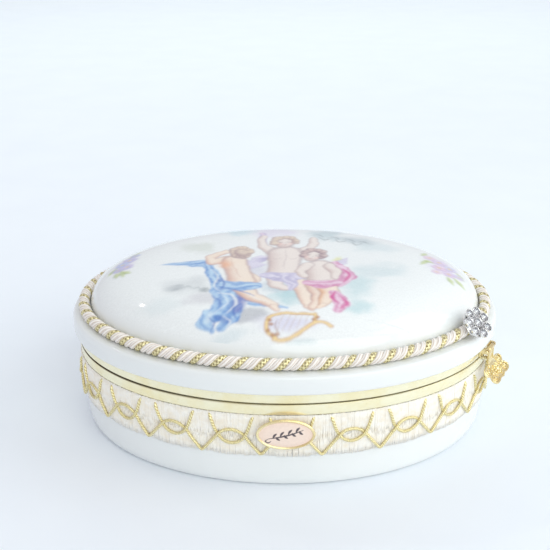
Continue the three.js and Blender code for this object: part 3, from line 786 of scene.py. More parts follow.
def make_picture():
    """The overglaze picture on the dome: a fine grid just above the glaze, painted in code, then faded
    a little and blurred a little as fired enamel is."""
    reach = DOME_EDGE - 1.2
    depth = reach - STEP
    # Runs of the grid (from, to, spacing): closest where the figures and the flowers are.
    columns = ((-reach, -66, 0.55), (-66, -46, 1.0), (-46, 42, 0.36), (42, 60, 1.0), (60, reach, 0.55))
    rows = ((-depth, -54, 0.34), (-54, 30, 0.46), (30, depth, 0.6))
    xs = np.append(np.concatenate([np.arange(*run) for run in columns]), reach)
    ys = np.append(np.concatenate([np.arange(*run) for run in rows]), depth)
    x, y = np.meshgrid(xs, ys, indexing="ij")
    size = oval_reach(x, y)
    fade = smooth_step(reach, reach - 2, size)
    z = dome_height(np.minimum(size, DOME_EDGE)) - 0.08 + 0.14 * fade
    canvas = Canvas(x, y, WHITE)
    paint_flowers(canvas)
    # The figures are composed on a flat oval. This smooth curve, fitted to where they lie on the real
    # lid, eases them over the dome, and a little noise makes the hand unsteady.
    unsteady = [canvas.cloud(3.4, seed) - 0.5 for seed in (91, 92)]
    canvas.x = (0.1 + 0.948 * x - 0.0375 * y - 0.00077 * x * x - 0.00264 * x * y - 0.00028 * y * y
                + 1.5 * unsteady[0])
    canvas.y = (16.6 + 0.728 * y + 0.00035 * x * y - 0.00228 * y * y + 0.00006 * y**3
                + 1.5 * unsteady[1])
    paint_lid(canvas)
    worn = 0.03 + 0.14 * canvas.cloud(9.0, 93)[..., None]
    canvas.rgb = canvas.rgb * (1 - worn) + np.array(WHITE) * worn
    for _ in range(2):
        soft = canvas.rgb.copy()
        soft[1:-1] = (canvas.rgb[:-2] + 2 * canvas.rgb[1:-1] + canvas.rgb[2:]) / 4
        canvas.rgb = soft.copy()
        canvas.rgb[:, 1:-1] = (soft[:, :-2] + 2 * soft[:, 1:-1] + soft[:, 2:]) / 4
    index = np.arange(x.size).reshape(x.shape)
    quads = np.stack([index[:-1, :-1], index[1:, :-1], index[1:, 1:], index[:-1, 1:]], -1).reshape(-1, 4)
    quads = quads[(size.ravel()[quads] < reach).all(1)]
    used = np.unique(quads)
    lookup = np.full(x.size, -1)
    lookup[used] = np.arange(len(used))
    piece = Piece()
    piece.points.append(np.stack([x, y, z], -1).reshape(-1, 3)[used])
    piece.faces = lookup[quads].tolist()
    flat = np.stack([x + reach, y + reach], -1).reshape(-1, 2)
    piece.uvs.append(flat[quads].reshape(-1, 2))
    piece.build("lid_picture", "cover", picture_glaze, "porcelain", sheet=True,
                colours=canvas.rgb.reshape(-1, 3)[used])


def paint(red, green, blue):
    """A paint as light as it looks on the white glaze, 0 to 255 for each channel."""
    value = np.array([red, green, blue]) / 255
    return np.where(value < 0.04, value / 12.92, ((value + 0.055) / 1.055) ** 2.4) * 0.95


SKIN, SKIN_SHADE, SKIN_EDGE = paint(250, 232, 214), paint(226, 186, 168), paint(176, 138, 138)
WARM_SHADE = paint(232, 176, 132)
WARM = (SKIN, SKIN_SHADE, SKIN_EDGE)
PALE_SKIN, PALE_SHADE, PALE_EDGE = paint(244, 232, 224), paint(218, 196, 190), paint(170, 148, 152)
PALE = (PALE_SKIN, PALE_SHADE, PALE_EDGE)
HAIR, HAIR_SHADE = paint(232, 212, 190), paint(176, 148, 148)
BLUE, BLUE_SHADE = paint(196, 226, 246), paint(58, 128, 206)
DEEP_BLUE, VIOLET = paint(50, 104, 190), paint(104, 112, 190)
PINK, PINK_SHADE = paint(244, 214, 232), paint(206, 96, 160)
LILAC, LILAC_SHADE = paint(232, 226, 242), paint(176, 168, 208)
GOLD, GOLD_SHADE = paint(248, 222, 158), paint(196, 128, 66)
GREY_CLOUD, TEAL_CLOUD = paint(186, 192, 196), paint(176, 214, 220)
DARK_WISP = paint(108, 122, 130)
LEAF, LEAF_SHADE = paint(206, 218, 140), paint(136, 164, 104)


def paint_head(canvas, centre, radius, hair, hair_shade, turn=0.0, face=True):
    """A small round head with curls. The face is a plain calm one, the same for every figure."""
    centre = np.array(centre, float)
    c, s = math.cos(math.radians(turn)), math.sin(math.radians(turn))

    def at(u, v):
        return centre + radius * np.array([u * c - v * s, u * s + v * c])

    canvas.form([at(0, -0.15), at(0, 0.2)], [radius * 0.82, radius * 0.92], *PALE)
    curls = np.linspace(-20, 200, 10) if face else np.linspace(0, 360, 15)
    for k, angle in enumerate(curls):
        a = math.radians(angle)
        far = 0.86 if face else 0.72
        canvas.form([at(far * math.cos(a), 0.18 + far * math.sin(a))],
                    [radius * (0.34 + 0.07 * math.sin(k * 2.3))],
                    hair, hair_shade, hair_shade, 0.92)
    if not face:
        canvas.form([at(0, 0.1)], [radius * 0.66], hair, hair_shade, None, 0.9)
        for k in range(5):
            canvas.stroke([at(-0.5, 0.5 - 0.25 * k), at(0, 0.62 - 0.25 * k), at(0.5, 0.45 - 0.25 * k)],
                          0.5, hair_shade, 0.7)
        return
    for side in (-1, 1):
        canvas.form([at(side * 0.44, -0.32)], [radius * 0.2], paint(246, 206, 196), paint(240, 200, 190),
                    None, 0.6, 0.6)
        canvas.stroke([at(side * 0.2, 0.02), at(side * 0.33, 0.06), at(side * 0.48, 0.0)], 0.5, PALE_EDGE,
                      0.95)
        canvas.stroke([at(side * 0.18, 0.2), at(side * 0.34, 0.26), at(side * 0.52, 0.2)], 0.34, HAIR_SHADE,
                      0.7)
    canvas.stroke([at(0.04, 0.04), at(0.09, -0.2), at(-0.02, -0.24)], 0.34, PALE_EDGE, 0.7)
    canvas.stroke([at(-0.17, -0.45), at(0, -0.49), at(0.17, -0.45)], 0.48, paint(196, 122, 122), 0.9)


def paint_sky(canvas):
    """Thin cloudy washes behind the figures."""
    washes = (
        ((-46, -6), (16, 9), GREY_CLOUD, 0.42, 20, 3), ((-38, -20), (12, 8), paint(200, 196, 204), 0.5, 0, 4),
        ((-52, -8), (6, 4), GREY_CLOUD, 0.5, 10, 5), ((-37, -12), (4.5, 3), DARK_WISP, 0.55, -20, 6),
        ((-51, -9), (3, 2), DARK_WISP, 0.35, 30, 7), ((4, -18), (15, 13), TEAL_CLOUD, 0.85, 10, 8),
        ((-4, -10), (10, 8), paint(186, 202, 214), 0.6, 0, 9),
        ((-16, -38), (13, 7), paint(178, 180, 188), 0.75, 15, 10),
        ((34, -8), (9, 22), TEAL_CLOUD, 0.55, 0, 11), ((35, -30), (10, 7), TEAL_CLOUD, 0.6, 20, 12),
        ((42, 8), (14, 9), paint(206, 224, 228), 0.6, 0, 13), ((-6, 48), (12, 12), LILAC, 0.9, 0, 14),
        ((-22, 50), (9, 9), paint(206, 232, 240), 0.8, 0, 15),
        ((16, 45), (10, 11), paint(190, 210, 216), 0.8, 0, 16),
        ((29, 38), (13, 6), paint(170, 188, 196), 0.65, -15, 17),
        ((38, 30), (12, 7), paint(210, 226, 230), 0.6, 0, 18),
        ((-40, 30), (12, 7), paint(212, 218, 206), 0.6, 0, 19),
        ((-14, 10), (12, 10), paint(206, 204, 222), 0.6, 0, 20),
        ((2, -44), (20, 9), paint(226, 224, 238), 0.7, 0, 21),
        ((-26, -52), (16, 5), paint(206, 222, 228), 0.5, 10, 22),
        ((8, -58), (10, 2.5), paint(196, 214, 218), 0.5, 5, 23),
        ((-60, -22), (13, 9), paint(222, 232, 234), 0.5, 0, 24),
    )
    for centre, half, colour, opacity, turn, seed in washes:
        canvas.wash(centre, half, colour, opacity, turn, seed)
    for k in range(7):
        x, y = 13 + 3.4 * k, 41.5 - 1.3 * k
        canvas.stroke([(x - 2.6, y + 1.5), (x, y + 2.6 * (-1) ** k), (x + 3.0, y - 0.6)], 0.9, DARK_WISP, 0.5)
    for k in range(5):
        x = -50 + 4.4 * k
        canvas.stroke([(x - 2, -7 - 1.6 * k), (x, -5.4 - 1.5 * k), (x + 2.2, -7.4 - 1.5 * k)], 1.1,
                      DARK_WISP, 0.35)


def paint_wing(canvas, root, tip, spread, count=6):
    """A small pale wing of soft feathers."""
    root, tip = np.array(root, float), np.array(tip, float)
    across = np.array([tip[1] - root[1], root[0] - tip[0]]) / np.linalg.norm(tip - root)
    for k in range(count):
        end = root + (tip - root) * (1 - 0.09 * k) + across * spread * k / count
        canvas.form([root, (root + end) / 2 + across * 0.6, end], [1.0, 1.5, 0.6], LILAC, LILAC_SHADE,
                    LILAC_SHADE, 0.85)


def paint_middle_figure(canvas):
    """Child seated in the middle with both arms raised, wrapped in a pale lilac cloth."""
    paint_wing(canvas, (-6, 20), (-15, 12), 6)
    canvas.cloth([(-9, 28), (-11, 36), (-11, 46)], [1.8, 2.4, 1.2], PINK, LILAC_SHADE, 3, 31, 0.8)
    canvas.form([(-6, 25), (-10, 30), (-11.4, 36), (-10.6, 41)], [3.2, 2.7, 2.1, 1.7], *PALE)
    canvas.form([(6, 25), (10.6, 29), (12.4, 34), (11.4, 39)], [3.2, 2.7, 2.1, 1.7], *PALE)
    canvas.form([(0, 22.5), (0.4, 13), (-0.4, 4)], [8.2, 7.4, 8.2], *PALE)
    canvas.stroke([(0, 28), (0.4, 22), (0.3, 14), (0, 8)], 0.6, PALE_EDGE, 0.35)
    canvas.stroke([(-5, 19.5), (-3, 18.4), (-1, 19.2)], 0.6, PALE_EDGE, 0.35)
    canvas.stroke([(1.6, 19.2), (3.6, 18.4), (5.6, 19.5)], 0.6, PALE_EDGE, 0.35)
    paint_head(canvas, (-0.6, 34.4), 5.6, HAIR, HAIR_SHADE, 8)
    canvas.form([(5, -1), (8.6, -13), (10.8, -25), (11.4, -30.5)], [4.6, 3.9, 2.9, 2.2], SKIN, SKIN_SHADE,
                PALE_EDGE)
    canvas.form([(11.2, -31.5), (13.6, -33.6)], [2.1, 1.6], SKIN, SKIN_SHADE, PALE_EDGE)
    canvas.form([(-4, 0), (-3.4, -8), (1.2, -11.5)], [4.4, 3.4, 2.6], *PALE)
    canvas.cloth([(-8, 2.5), (0, 0.2), (8.5, 2)], [3.0, 5.0, 3.2], LILAC, LILAC_SHADE, 3.4, 33)
    canvas.cloth([(2, 0), (4.5, -7), (3.2, -13)], [3.6, 2.8, 1.2], LILAC, LILAC_SHADE, 3.0, 34)


def paint_right_figure(canvas):
    """Child on the right in a trailing pink cloth."""
    canvas.wash((24, 17), (3, 4), paint(232, 232, 160), 0.8, 0, 41)
    paint_wing(canvas, (21, 14), (28, 19), 5, 5)
    canvas.cloth([(22.5, 14), (26.5, 8), (29, 1), (25.5, -8)], [2.2, 3.4, 4.0, 2.2], PINK, PINK_SHADE, 3.2,
                 42)
    canvas.form([(15.8, 11), (17, 2), (17.4, -5)], [6.4, 6.9, 6.9], *PALE)
    canvas.form([(20.6, 11.5), (24, 6), (23.4, 0)], [2.9, 2.5, 2.1], *PALE)
    canvas.form([(10.8, 12.5), (7.6, 7), (9.4, 1.6)], [2.9, 2.4, 2.0], *PALE)
    canvas.stroke([(12, -1.5), (16.4, -3.4), (21.6, -1.6)], 0.7, PALE_EDGE, 0.55)
    paint_head(canvas, (12.6, 21.4), 5.3, paint(214, 188, 182), paint(140, 108, 122), -14)
    canvas.form([(15, -9), (17.4, -18), (16.2, -26), (13.6, -31.5)], [5.2, 4.4, 3.3, 2.4], *WARM)
    canvas.form([(20, -9), (21.8, -17), (19.6, -25), (18.4, -29)], [5.2, 4.4, 3.2, 2.4], SKIN, WARM_SHADE,
                SKIN_EDGE)
    canvas.form([(18.4, -29.4), (16.4, -31.6)], [1.9, 1.4], SKIN, WARM_SHADE, SKIN_EDGE)
    canvas.cloth([(11.6, -5.4), (17.6, -7.6), (24, -5.6)], [2.8, 4.2, 3.2], PINK, PINK_SHADE, 3.4, 43)
    canvas.cloth([(23.4, -16), (25.6, -22), (27.4, -28), (25.2, -34)], [2.4, 3.6, 3.9, 2.2], PINK,
                 PINK_SHADE, 3.6, 44)
    for points in (((24, -15), (22.5, -21), (25.2, -26)), ((27, -21), (29.6, -27), (26.4, -32)),
                   ((27, 9), (30, 2), (27, -5))):
        canvas.stroke(points, 1.7, paint(214, 56, 146), 0.85)


def paint_left_figure(canvas):
    """Child on the left, seen from behind, over a heap of blue drapery."""
    for path, radii, seed in (
        ([(-58, 14.4), (-49, 14.2), (-39, 15.6)], [0.5, 1.3, 2.2], 51),
        ([(-45, 12.6), (-38, 12.4), (-34, 8)], [0.9, 1.6, 2.2], 52),
        ([(-36, 13), (-33, 4), (-31, -5), (-31.4, -14)], [2.4, 3.4, 3.8, 3.0], 53),
        ([(-22, -12), (-17, -20), (-9, -27)], [4.2, 4.6, 2.4], 54),
        ([(-36, -33), (-38.5, -40), (-34, -46.5)], [3.0, 3.6, 1.6], 55),
        ([(-30, -13), (-26, -22), (-27, -31), (-33, -37)], [5.0, 6.8, 7.2, 4.6], 56),
        ([(-24, -30), (-25, -39), (-29.5, -45.5)], [5.0, 5.0, 2.4], 57),
        ([(-14, -27), (-6, -29.5), (2, -32)], [2.6, 1.9, 0.8], 58),
    ):
        canvas.cloth(path, radii, BLUE, BLUE_SHADE, 3.4, seed)
    canvas.form([(-19, -17), (-21, -26), (-22.5, -34)], [2.4, 3.8, 2.6], VIOLET, DEEP_BLUE, None, 0.75, 0.7)
    canvas.form([(-31, -38), (-27, -41)], [2.0, 2.6], DEEP_BLUE, DEEP_BLUE, None, 0.65, 0.7)
    canvas.form([(-30.5, -2), (-28.5, -10)], [1.4, 1.8], DEEP_BLUE, DEEP_BLUE, None, 0.6, 0.7)
    canvas.form([(-35, -34), (-36.5, -40)], [1.8, 2.2], paint(226, 242, 250), BLUE, None, 0.7, 0.7)
    paint_wing(canvas, (-19, 17), (-8.5, 13), 7)
    canvas.form([(-26.4, 18), (-34.4, 15.5), (-35, 20), (-27, 25)], [3.0, 2.7, 2.2, 1.7], *WARM)
    canvas.form([(-17.5, 5), (-12.6, -1), (-14.6, -6)], [2.6, 2.5, 2.0], *WARM)
    canvas.form([(-23.2, 15.5), (-21.4, 7), (-19.6, -3)], [6.4, 6.0, 7.0], *WARM)
    canvas.form([(-27.6, 13.5)], [3.0], paint(246, 176, 128), paint(240, 170, 120), None, 0.6, 0.8)
    canvas.stroke([(-25, 20), (-23, 10), (-20.4, 1)], 0.8, SKIN_SHADE, 0.6)
    paint_head(canvas, (-20.2, 23.6), 5.4, HAIR, HAIR_SHADE, 0, face=False)
    canvas.form([(-19, -11), (-15, -20), (-8.6, -25.5), (-4.4, -30)], [5.4, 4.5, 3.5, 2.7], *WARM)
    canvas.form([(-4.4, -31), (-2.6, -34.4)], [2.3, 1.7], *WARM)
    canvas.cloth([(-27.5, -6.5), (-20.6, -8.6), (-13.4, -8.6)], [3.4, 5.0, 3.6], BLUE, BLUE_SHADE, 3.6, 59)
    for points, colour, width in (
        (((-34, 9), (-31, 1), (-33, -8), (-29, -14)), WHITE, 0.9),
        (((-31, -15), (-24, -18), (-22, -27), (-27, -35)), WHITE, 1.5),
        (((-29, -17), (-26, -25), (-31, -32), (-35, -36)), paint(226, 240, 250), 1.2),
        (((-20, -27), (-24, -33), (-22, -40)), DEEP_BLUE, 1.6),
        (((-36, -36), (-33, -42), (-35, -47)), DEEP_BLUE, 1.0),
        (((-27, -11), (-20, -14), (-13, -20)), DEEP_BLUE, 1.2),
        (((-30, 3), (-28, -5), (-29, -11)), DEEP_BLUE, 1.4),
        (((-18, -16), (-13, -22), (-6, -27)), WHITE, 0.8),
        (((-29, -37), (-25, -42), (-28, -47)), WHITE, 1.0),
        (((-34, -18), (-30, -24), (-31, -29)), DEEP_BLUE, 0.9),
    ):
        canvas.stroke(points, width, colour, 0.8)


def paint_lyre(canvas):
    """A golden lyre lying in front of the figures."""
    canvas.wash((2, -46), (13, 6), paint(222, 220, 238), 0.75, 8, 61)
    frame_lines = (
        ((-3.5, -55.4), (-7.2, -51.5), (-8.2, -46), (-5.6, -40.4), (-0.6, -37.9), (6, -37.8), (15, -38.2)),
        ((15, -37.9), (15.6, -41), (14.8, -44.4)),
        ((22.4, -47.2), (18.6, -44.6), (14.2, -45.6), (10.4, -49.6), (5, -54.6), (-0.6, -56.8),
         (-4.4, -55.6)),
    )
    for points in frame_lines:
        canvas.stroke(points, 2.5, GOLD_SHADE, 0.9, taper=False)
    for points in frame_lines:
        canvas.stroke(points, 1.5, GOLD, 0.95, taper=False)
    for k in range(5):
        canvas.stroke([(0.5 + 3.0 * k, -38.6), (-3.6 + 3.3 * k, -53.2 + 1.2 * k)], 0.34,
                      paint(182, 150, 110), 0.5, taper=False)
    for x, y in ((-7.0, -50.6), (-5.0, -53.4), (-2.8, -53.0), (-5.9, -46.2), (14.6, -42.6), (16.4, -40.8),
                 (-6.4, -43.2)):
        canvas.form([(x, y)], [1.15], GOLD_SHADE, paint(132, 72, 50), paint(132, 72, 50), 0.8)
    canvas.stroke([(-2.5, -43), (-4.0, -48), (-1.4, -53)], 0.9, paint(150, 92, 66), 0.6)


def paint_spray(canvas, blossoms, leaves, petal, petal_shade):
    """Small five-petalled blossoms among leaves."""
    for root, tip in leaves:
        root, tip = np.array(root, float), np.array(tip, float)
        canvas.form([root, (root + tip) / 2, tip], [0.5, 1.5, 0.3], LEAF, LEAF_SHADE, LEAF_SHADE, 0.85)
    for n, (x, y, size) in enumerate(blossoms):
        for k in range(5):
            a = TAU * k / 5 + n
            canvas.form([(x + 0.7 * size * math.cos(a), y + 0.7 * size * math.sin(a))], [0.62 * size],
                        petal[n % len(petal)], petal_shade, petal_shade, 0.85)
        canvas.form([(x, y)], [0.3 * size], paint(250, 232, 150), paint(214, 170, 90), None, 0.95)


def paint_flowers(canvas):
    """A spray of small blossoms at each end of the dome."""
    canvas.wash((-77.5, 4), (6, 15), LILAC, 0.8, -8, 71)
    canvas.wash((76, 2), (9, 16), LILAC, 0.8, 8, 72)
    paint_spray(
        canvas, ((-76.0, 9, 3.0), (-79.0, 4.4, 2.8), (-75.9, 0, 2.5), (-80.1, -1.8, 2.2), (-73.9, 15, 2.0)),
        (((-78.5, -3), (-76.1, -11.4)), ((-77.5, -5), (-73.1, -9)), ((-81.5, 2), (-84.5, -4.5)),
         ((-76.5, 13), (-72.5, 20)), ((-80.5, -5), (-79.5, -10.5))),
        (paint(206, 200, 238), paint(196, 212, 246), paint(222, 206, 238)), paint(158, 160, 214),
    )
    paint_spray(
        canvas, ((71.5, 10, 2.6), (75.6, 5.4, 3.0), (79.6, -0.4, 2.9), (74.4, -2, 2.8), (78.2, -7.4, 2.6),
                 (83.0, -7.2, 2.0), (72.2, -7.6, 2.0)),
        (((70, 6), (65.6, -1)), ((72, 3), (68, 5.6)), ((80, -10), (84.4, -17)), ((77, -11), (78.6, -17.4)),
         ((83, -3), (85.4, -9)), ((68, 12), (71, 17))),
        (paint(244, 220, 232), paint(232, 218, 242), paint(214, 222, 246)), paint(200, 164, 208),
    )


def paint_lid(canvas):
    """Three winged children at play in the clouds, back to front, and a lyre."""
    paint_sky(canvas)
    paint_middle_figure(canvas)
    paint_right_figure(canvas)
    paint_left_figure(canvas)
    paint_lyre(canvas)


# ---- Clasp, hinge and flower -------------------------------------------------------------------

def joint_frame(name, sign):
    """Origin on the joint's axis, outward direction and tangent, from the frame's joint."""
    joint = next(j for j in frame["joints"] if j["name"] == name)
    tangent = sign * np.array(joint["axis"], float)
    tangent /= np.linalg.norm(tangent)
    return np.array(joint["pos_m"]) / MM, np.cross(tangent, (0, 0, 1)), tangent


CLASP_AXIS, CLASP_OUT, CLASP_ALONG = joint_frame("clasp_swing", -1)
CLASP_SIDE = spline([
    (0.4, 0.0), (0.4, -2.8), (0.4, -5.2), (1.0, -7.3), (2.6, -9.1), (5.0, -10.8), (7.8, -12.7),
], 10)  # the clasp's side view from its pivot: outwards, up


def on_clasp(points, lift=0.0):
    """Points (along the box, down the clasp) laid on the clasp's curved side view."""
    points = np.asarray(points, float)
    run = np.concatenate([[0], np.cumsum(np.linalg.norm(np.diff(CLASP_SIDE, axis=0), axis=1))])
    out = np.interp(points[..., 1], run, CLASP_SIDE[:, 0])
    up = np.interp(points[..., 1], run, CLASP_SIDE[:, 1])
    slope_out = np.interp(points[..., 1] + 0.4, run, CLASP_SIDE[:, 0]) - out
    slope_up = np.interp(points[..., 1] + 0.4, run, CLASP_SIDE[:, 1]) - up
    size = np.hypot(slope_out, slope_up) + 1e-9
    out = out - lift * slope_up / size
    up = up + lift * slope_out / size
    place = CLASP_AXIS + out[..., None] * CLASP_OUT + points[..., :1] * CLASP_ALONG
    place[..., 2] += up
    return place


def spiral(centre, start_radius, end_radius, start_turn, turns):
    t = np.linspace(0, 1, 26)
    radius = start_radius + (end_radius - start_radius) * t
    angle = TAU * (start_turn + turns * t)
    return np.stack([centre[0] + radius * np.cos(angle), centre[1] + radius * np.sin(angle)], 1)


def make_clasp():
    """Clasp: a flat strap, and below it a bow-shaped lip of soldered wire scrolls and beads on a thin
    back plate. Its barrel turns on the clasp's pin."""
    piece = Piece()
    up = CLASP_OUT * 0.6 + np.array([0, 0, 0.8])

    def wire(points, radius, steps=6, lift=0.0):
        path = on_clasp(spline(points, steps), lift)
        share = np.linspace(0, 1, len(path))
        taper = radius * (0.82 + 0.18 * np.sin(math.pi * share))
        piece.grid(tube(path, taper, 8, up), (path_length(path), 1), caps=True)

    rows = np.linspace(-0.2, 8.6, 26)
    width = 3.5 + 1.2 * smooth_step(6.0, 8.6, rows)
    section = np.array([(-1, -0.3), (-0.9, -0.42), (0.9, -0.42), (1, -0.3), (1, 0.3), (0.9, 0.42),
                        (-0.9, 0.42), (-1, 0.3), (-1, -0.3)])
    strap = np.stack([
        np.stack([on_clasp(np.array([half * across, row]), lift) for across, lift in section])
        for row, half in zip(rows, width)
    ])
    piece.grid(strap, (9.4, 8), caps=True)
    plate_rows = np.linspace(7.3, 15.6, 24)
    plate_half = np.interp(plate_rows, (7.3, 7.9, 9.4, 10.8, 11.6, 12.4, 14.0, 15.3, 15.6),
                           (7.4, 10.2, 11.2, 9.9, 8.3, 9.7, 10.4, 8.8, 7.4))
    across = np.append(np.append(np.linspace(-1, 1, 13), np.linspace(1, -1, 13)), -1)
    lifts = np.append(np.append(np.full(13, -0.12), np.full(13, -0.42)), -0.12)
    piece.grid(np.stack([
        np.stack([on_clasp(np.array([half * u, row]), lift) for u, lift in zip(across, lifts)])
        for row, half in zip(plate_rows, plate_half)
    ]), (8.3, 40), caps=True)
    for side in (-1, 1):
        wire([(side * 3.5, 0.6), (side * 3.4, 4.2), (side * 4.2, 7.0)], 0.34, lift=0.35)
        outline = [(4.2, 7.2), (7.4, 7.2), (10.4, 7.9), (11.4, 9.4), (10.1, 10.8), (8.5, 11.6), (9.9, 12.4),
                   (10.6, 14.0), (9.0, 15.5), (6.0, 15.8), (3.1, 15.4), (0.0, 16.0)]
        wire([(side * a, b) for a, b in outline], 0.5)
        wire([(side * a, b) for a, b in spiral((7.8, 9.5), 1.9, 0.5, 0.55, 1.35)], 0.34)
        wire([(side * a, b) for a, b in spiral((7.2, 13.5), 1.75, 0.45, 0.45, -1.35)], 0.34)
        wire([(side * a, b) for a, b in [(0.9, 8.4), (2.8, 8.9), (4.9, 10.0), (6.3, 11.5)]], 0.34)
        wire([(side * a, b) for a, b in [(0.8, 14.7), (2.6, 14.0), (4.4, 12.9), (6.3, 11.7)]], 0.34)
        wire([(side * a, b) for a, b in [(2.3, 11.6), (3.6, 11.5), (6.0, 11.5), (8.3, 11.5)]], 0.36)
        wire([(side * a, b) for a, b in [(3.5, 8.8), (3.3, 10.3), (4.1, 11.5), (3.4, 12.9), (3.5, 14.3)]],
             0.28)
        for place in ((7.8, 9.5), (7.2, 13.5), (11.1, 9.6), (10.3, 14.3), (6.0, 11.5)):
            piece.grid(ball(on_clasp(np.array([side * place[0], place[1]]), 0.15), 0.62))
    piece.grid(ball(on_clasp(np.array([0.0, 11.6]), 0.2), 1.15, 10, 16))
    for k in range(8):
        turn = TAU * k / 8
        place = np.array([1.85 * math.cos(turn), 11.6 + 1.85 * math.sin(turn)])
        piece.grid(ball(on_clasp(place, 0.1), 0.66))
    barrel = np.array([(1.3, -3.5), (1.18, -3.66), (0.66, -3.66), (0.62, -3.5), (0.62, 3.5),
                       (0.66, 3.66), (1.18, 3.66), (1.3, 3.5), (1.3, -3.5)])
    turn = np.linspace(0, TAU, 33)[:, None]
    ring = (CLASP_AXIS + barrel[None, :, :1] * (np.cos(turn)[..., None] * CLASP_OUT
            + np.sin(turn)[..., None] * np.array([0, 0, 1])) + barrel[None, :, 1:] * CLASP_ALONG)
    piece.grid(ring, (8, 8))
    piece.build("clasp_openwork", "clasp", gilt, "brass", ["clasp_tongue"])


def flower_axes():
    """Two directions across the flower's face."""
    across = np.cross((0, 0, 1), FLOWER_NORMAL)
    across /= np.linalg.norm(across)
    return across, np.cross(FLOWER_NORMAL, across)


def turned(centre, profile, steps, scallops=0.0):
    """Grid of a profile (radius, height) turned about the flower's normal at a centre. Scallops is how
    far seven soft lobes stand out, as a share of the radius."""
    across, upward = flower_axes()
    profile = np.asarray(profile, float)
    angle = np.linspace(0, TAU, steps + 1)
    radius = profile[None, :, 0] * (1 + scallops * np.cos(7 * angle[:, None]))
    ring = np.cos(angle)[:, None, None] * across + np.sin(angle)[:, None, None] * upward
    return centre + radius[..., None] * ring + profile[None, :, 1:] * FLOWER_NORMAL


def make_flower():
    """Rhinestone flower: a cast plate with scalloped edge, cups with claws, and cut stones."""
    def middle(node):
        return (low(node) + high(node)) / 2
    plate = rounded([(0, -0.35, 0), (6.3, -0.35, 0.15), (6.5, 0.1, 0.15), (6.0, 0.35, 0.2), (0, 0.35, 0)])
    piece = Piece().grid(turned(middle("flower_plate"), plate, 84, scallops=0.045), (20, 6))
    piece.build("flower_plate_cast", "cover", silver, "silver", ["flower_plate"])
    for i in range(1, 9):
        node = f"stone_cup_{i}"
        base = middle(node) - 0.75 * FLOWER_NORMAL
        cup = rounded([(0, 0, 0), (1.6, 0, 0.3), (2.15, 0.6, 0.3), (2.2, 1.5, 0.1), (2.05, 1.68, 0.08),
                       (1.8, 1.5, 0.1), (1.78, 0.8, 0.2), (0.3, 0.22, 0.1), (0, 0.22, 0)], 4)
        piece = Piece().grid(turned(base, cup, 32), (13, 4))
        for claw in range(4):
            turn = TAU * (claw + 0.5) / 4 + i
            across, upward = flower_axes()
            out = math.cos(turn) * across + math.sin(turn) * upward
            bend = np.array([[2.02, 0.9], [2.06, 1.6], [1.9, 1.95], [1.55, 2.0]])
            path = base + bend @ np.stack([out, FLOWER_NORMAL])
            piece.grid(tube(spline(path, 4), 0.2, 6, np.cross(out, FLOWER_NORMAL)), (1, 1), caps=True)
        piece.build(f"claw_cup_{i}", "cover", silver, "silver", [node])
        stone = [(0, 0.3), (1.62, 1.25), (1.66, 1.42), (1.25, 1.95), (0.85, 2.12), (0, 2.14)]
        gem = Piece().grid(turned(base, stone, 8), (10, 3))
        item = gem.build(f"cut_stone_{i}", "cover", crystal, "crystal", [f"rhinestone_{i}"])
        item.data.shade_flat()


EASED_EDGE = 0.12


def finish_cad_pieces():
    """The small turned and folded brass pieces keep their CAD shape, with eased edges."""
    for node in ("hinge_leaf_bowl", "hinge_leaf_lid", "hinge_pin", "clasp_bracket", "clasp_pin",
                 "catch_stud"):
        item = frame["nodes"][node]
        item.data.materials.clear()
        item.data.materials.append(gilt if node.startswith("clasp") else brass)
        bevel = item.modifiers.new("eased_edges", "BEVEL")
        bevel.width = EASED_EDGE * MM
        bevel.segments = 2
        bevel.limit_method = "ANGLE"


# ---- Stage, lights and camera ------------------------------------------------------------------

FLOOR_HALF = 4.0  # metres


def make_stage():
    mesh = bpy.data.meshes.new("floor")
    corners = [(x * FLOOR_HALF, y * FLOOR_HALF, 0) for x, y in ((-1, -1), (1, -1), (1, 1), (-1, 1))]
    mesh.from_pydata(corners, [], [(0, 1, 2, 3)])
    floor = bpy.data.objects.new("floor", mesh)
    bpy.context.scene.collection.objects.link(floor)
    mesh.materials.append(floor_paper("studio_paper"))


def add_area_light(name, place, target, size, power, colour):
    """A rectangular lamp. Places and sizes are in metres, the power in watts."""
    lamp = bpy.data.lights.new(name, "AREA")
    lamp.shape = "RECTANGLE"
    lamp.size, lamp.size_y = size
    lamp.energy = power
    lamp.color = colour
    item = bpy.data.objects.new(name, lamp)
    item.location = place
    aim(item, target)
    bpy.context.scene.collection.objects.link(item)
    return item


def aim(item, target):
    """Turns a lamp or camera to look at a point in metres."""
    direction = Vector(target) - Vector(item.location)
    item.rotation_mode = "QUATERNION"
    item.rotation_quaternion = direction.to_track_quat("-Z", "Y")


def add_sun(name, direction, angle, strength, colour):
    """A broad soft light from far away, as wide as this angle in degrees."""
    lamp = bpy.data.lights.new(name, "SUN")
    lamp.angle = math.radians(angle)
    lamp.energy = strength
    lamp.color = colour
    item = bpy.data.objects.new(name, lamp)
    item.location = direction
    aim(item, (0, 0, 0))
    bpy.context.scene.collection.objects.link(item)


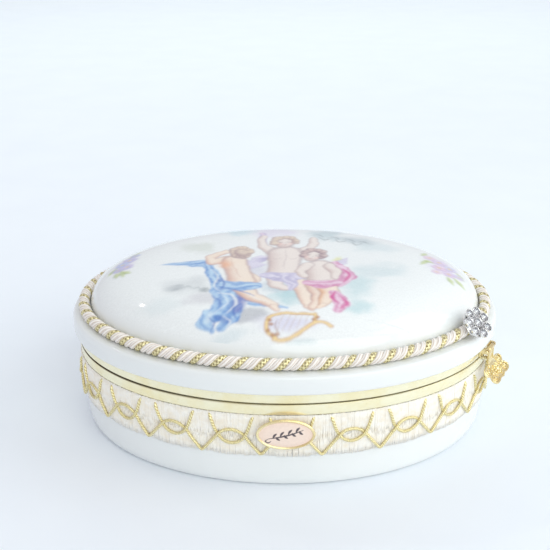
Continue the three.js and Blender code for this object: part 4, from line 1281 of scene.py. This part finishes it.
def make_lights():
    """Soft pale light all round, two broad panels, a softbox, a panel at the back and a small lamp."""
    world = bpy.data.worlds.new("studio")
    world.use_nodes = True
    background = world.node_tree.nodes["Background"]
    background.inputs["Color"].default_value = (0.95, 0.93, 1.0, 1)
    background.inputs["Strength"].default_value = 0.64
    bpy.context.scene.world = world
    add_sun("front_panel", (0.45, -1.0, 0.75), 50, 1.0, (0.92, 1.0, 0.91))
    add_sun("right_panel", (1.0, -0.25, 0.35), 40, 0.36, (1.0, 0.76, 0.62))
    add_area_light("right_softbox", (0.55, -0.1, 0.45), (0.05, 0, 0.04), (0.4, 0.5), 1.1, (0.8, 0.95, 1.0))
    back = add_area_light("back_panel", (0.1, 1.3, 1.2), (0.1, 1.3, 0), (2.0, 1.2), 7.5, (0.78, 1.0, 0.98))
    back.visible_glossy = False
    lamp_place, lamp_target = (-0.702, 0.481, 0.945), (-0.064, -0.039, 0.072)
    add_area_light("small_lamp", lamp_place, lamp_target, (0.1, 0.012), 0.55, (1.0, 1.0, 1.0))
    view = bpy.context.scene.view_settings
    view.view_transform = "Standard"
    view.look = "None"
    view.exposure = 0.0


CAMERA_TARGET = np.array([-4.56, 0.0, 70.84])
SENSOR_WIDTH = 36
CAMERA_DISTANCE = 453.1
CAMERA_ELEVATION = math.radians(22.785)
LENS_LENGTH = 61.2


def make_camera():
    lens = bpy.data.cameras.new("camera")
    lens.sensor_width = SENSOR_WIDTH
    lens.lens = LENS_LENGTH
    item = bpy.data.objects.new("camera", lens)
    away = np.array([0, -math.cos(CAMERA_ELEVATION), math.sin(CAMERA_ELEVATION)])
    item.location = (CAMERA_TARGET + CAMERA_DISTANCE * away) * MM
    aim(item, CAMERA_TARGET * MM)
    bpy.context.scene.collection.objects.link(item)
    bpy.context.scene.camera = item


make_camera()
make_lights()
make_stage()
make_bowl()
make_lid()
make_band("bowl_band_brass", "base", "bowl_band", 1)
make_band("lid_band_brass", "cover", "lid_band", -1)
make_rope()
make_ribbon()
make_cord("gold_cord_lower", "braid_cord_lower", lower_cord_height, 1)
make_cord("gold_cord_upper", "braid_cord_upper", upper_cord_height, -1)
make_plaque()
make_picture()
make_clasp()
make_flower()
finish_cad_pieces()
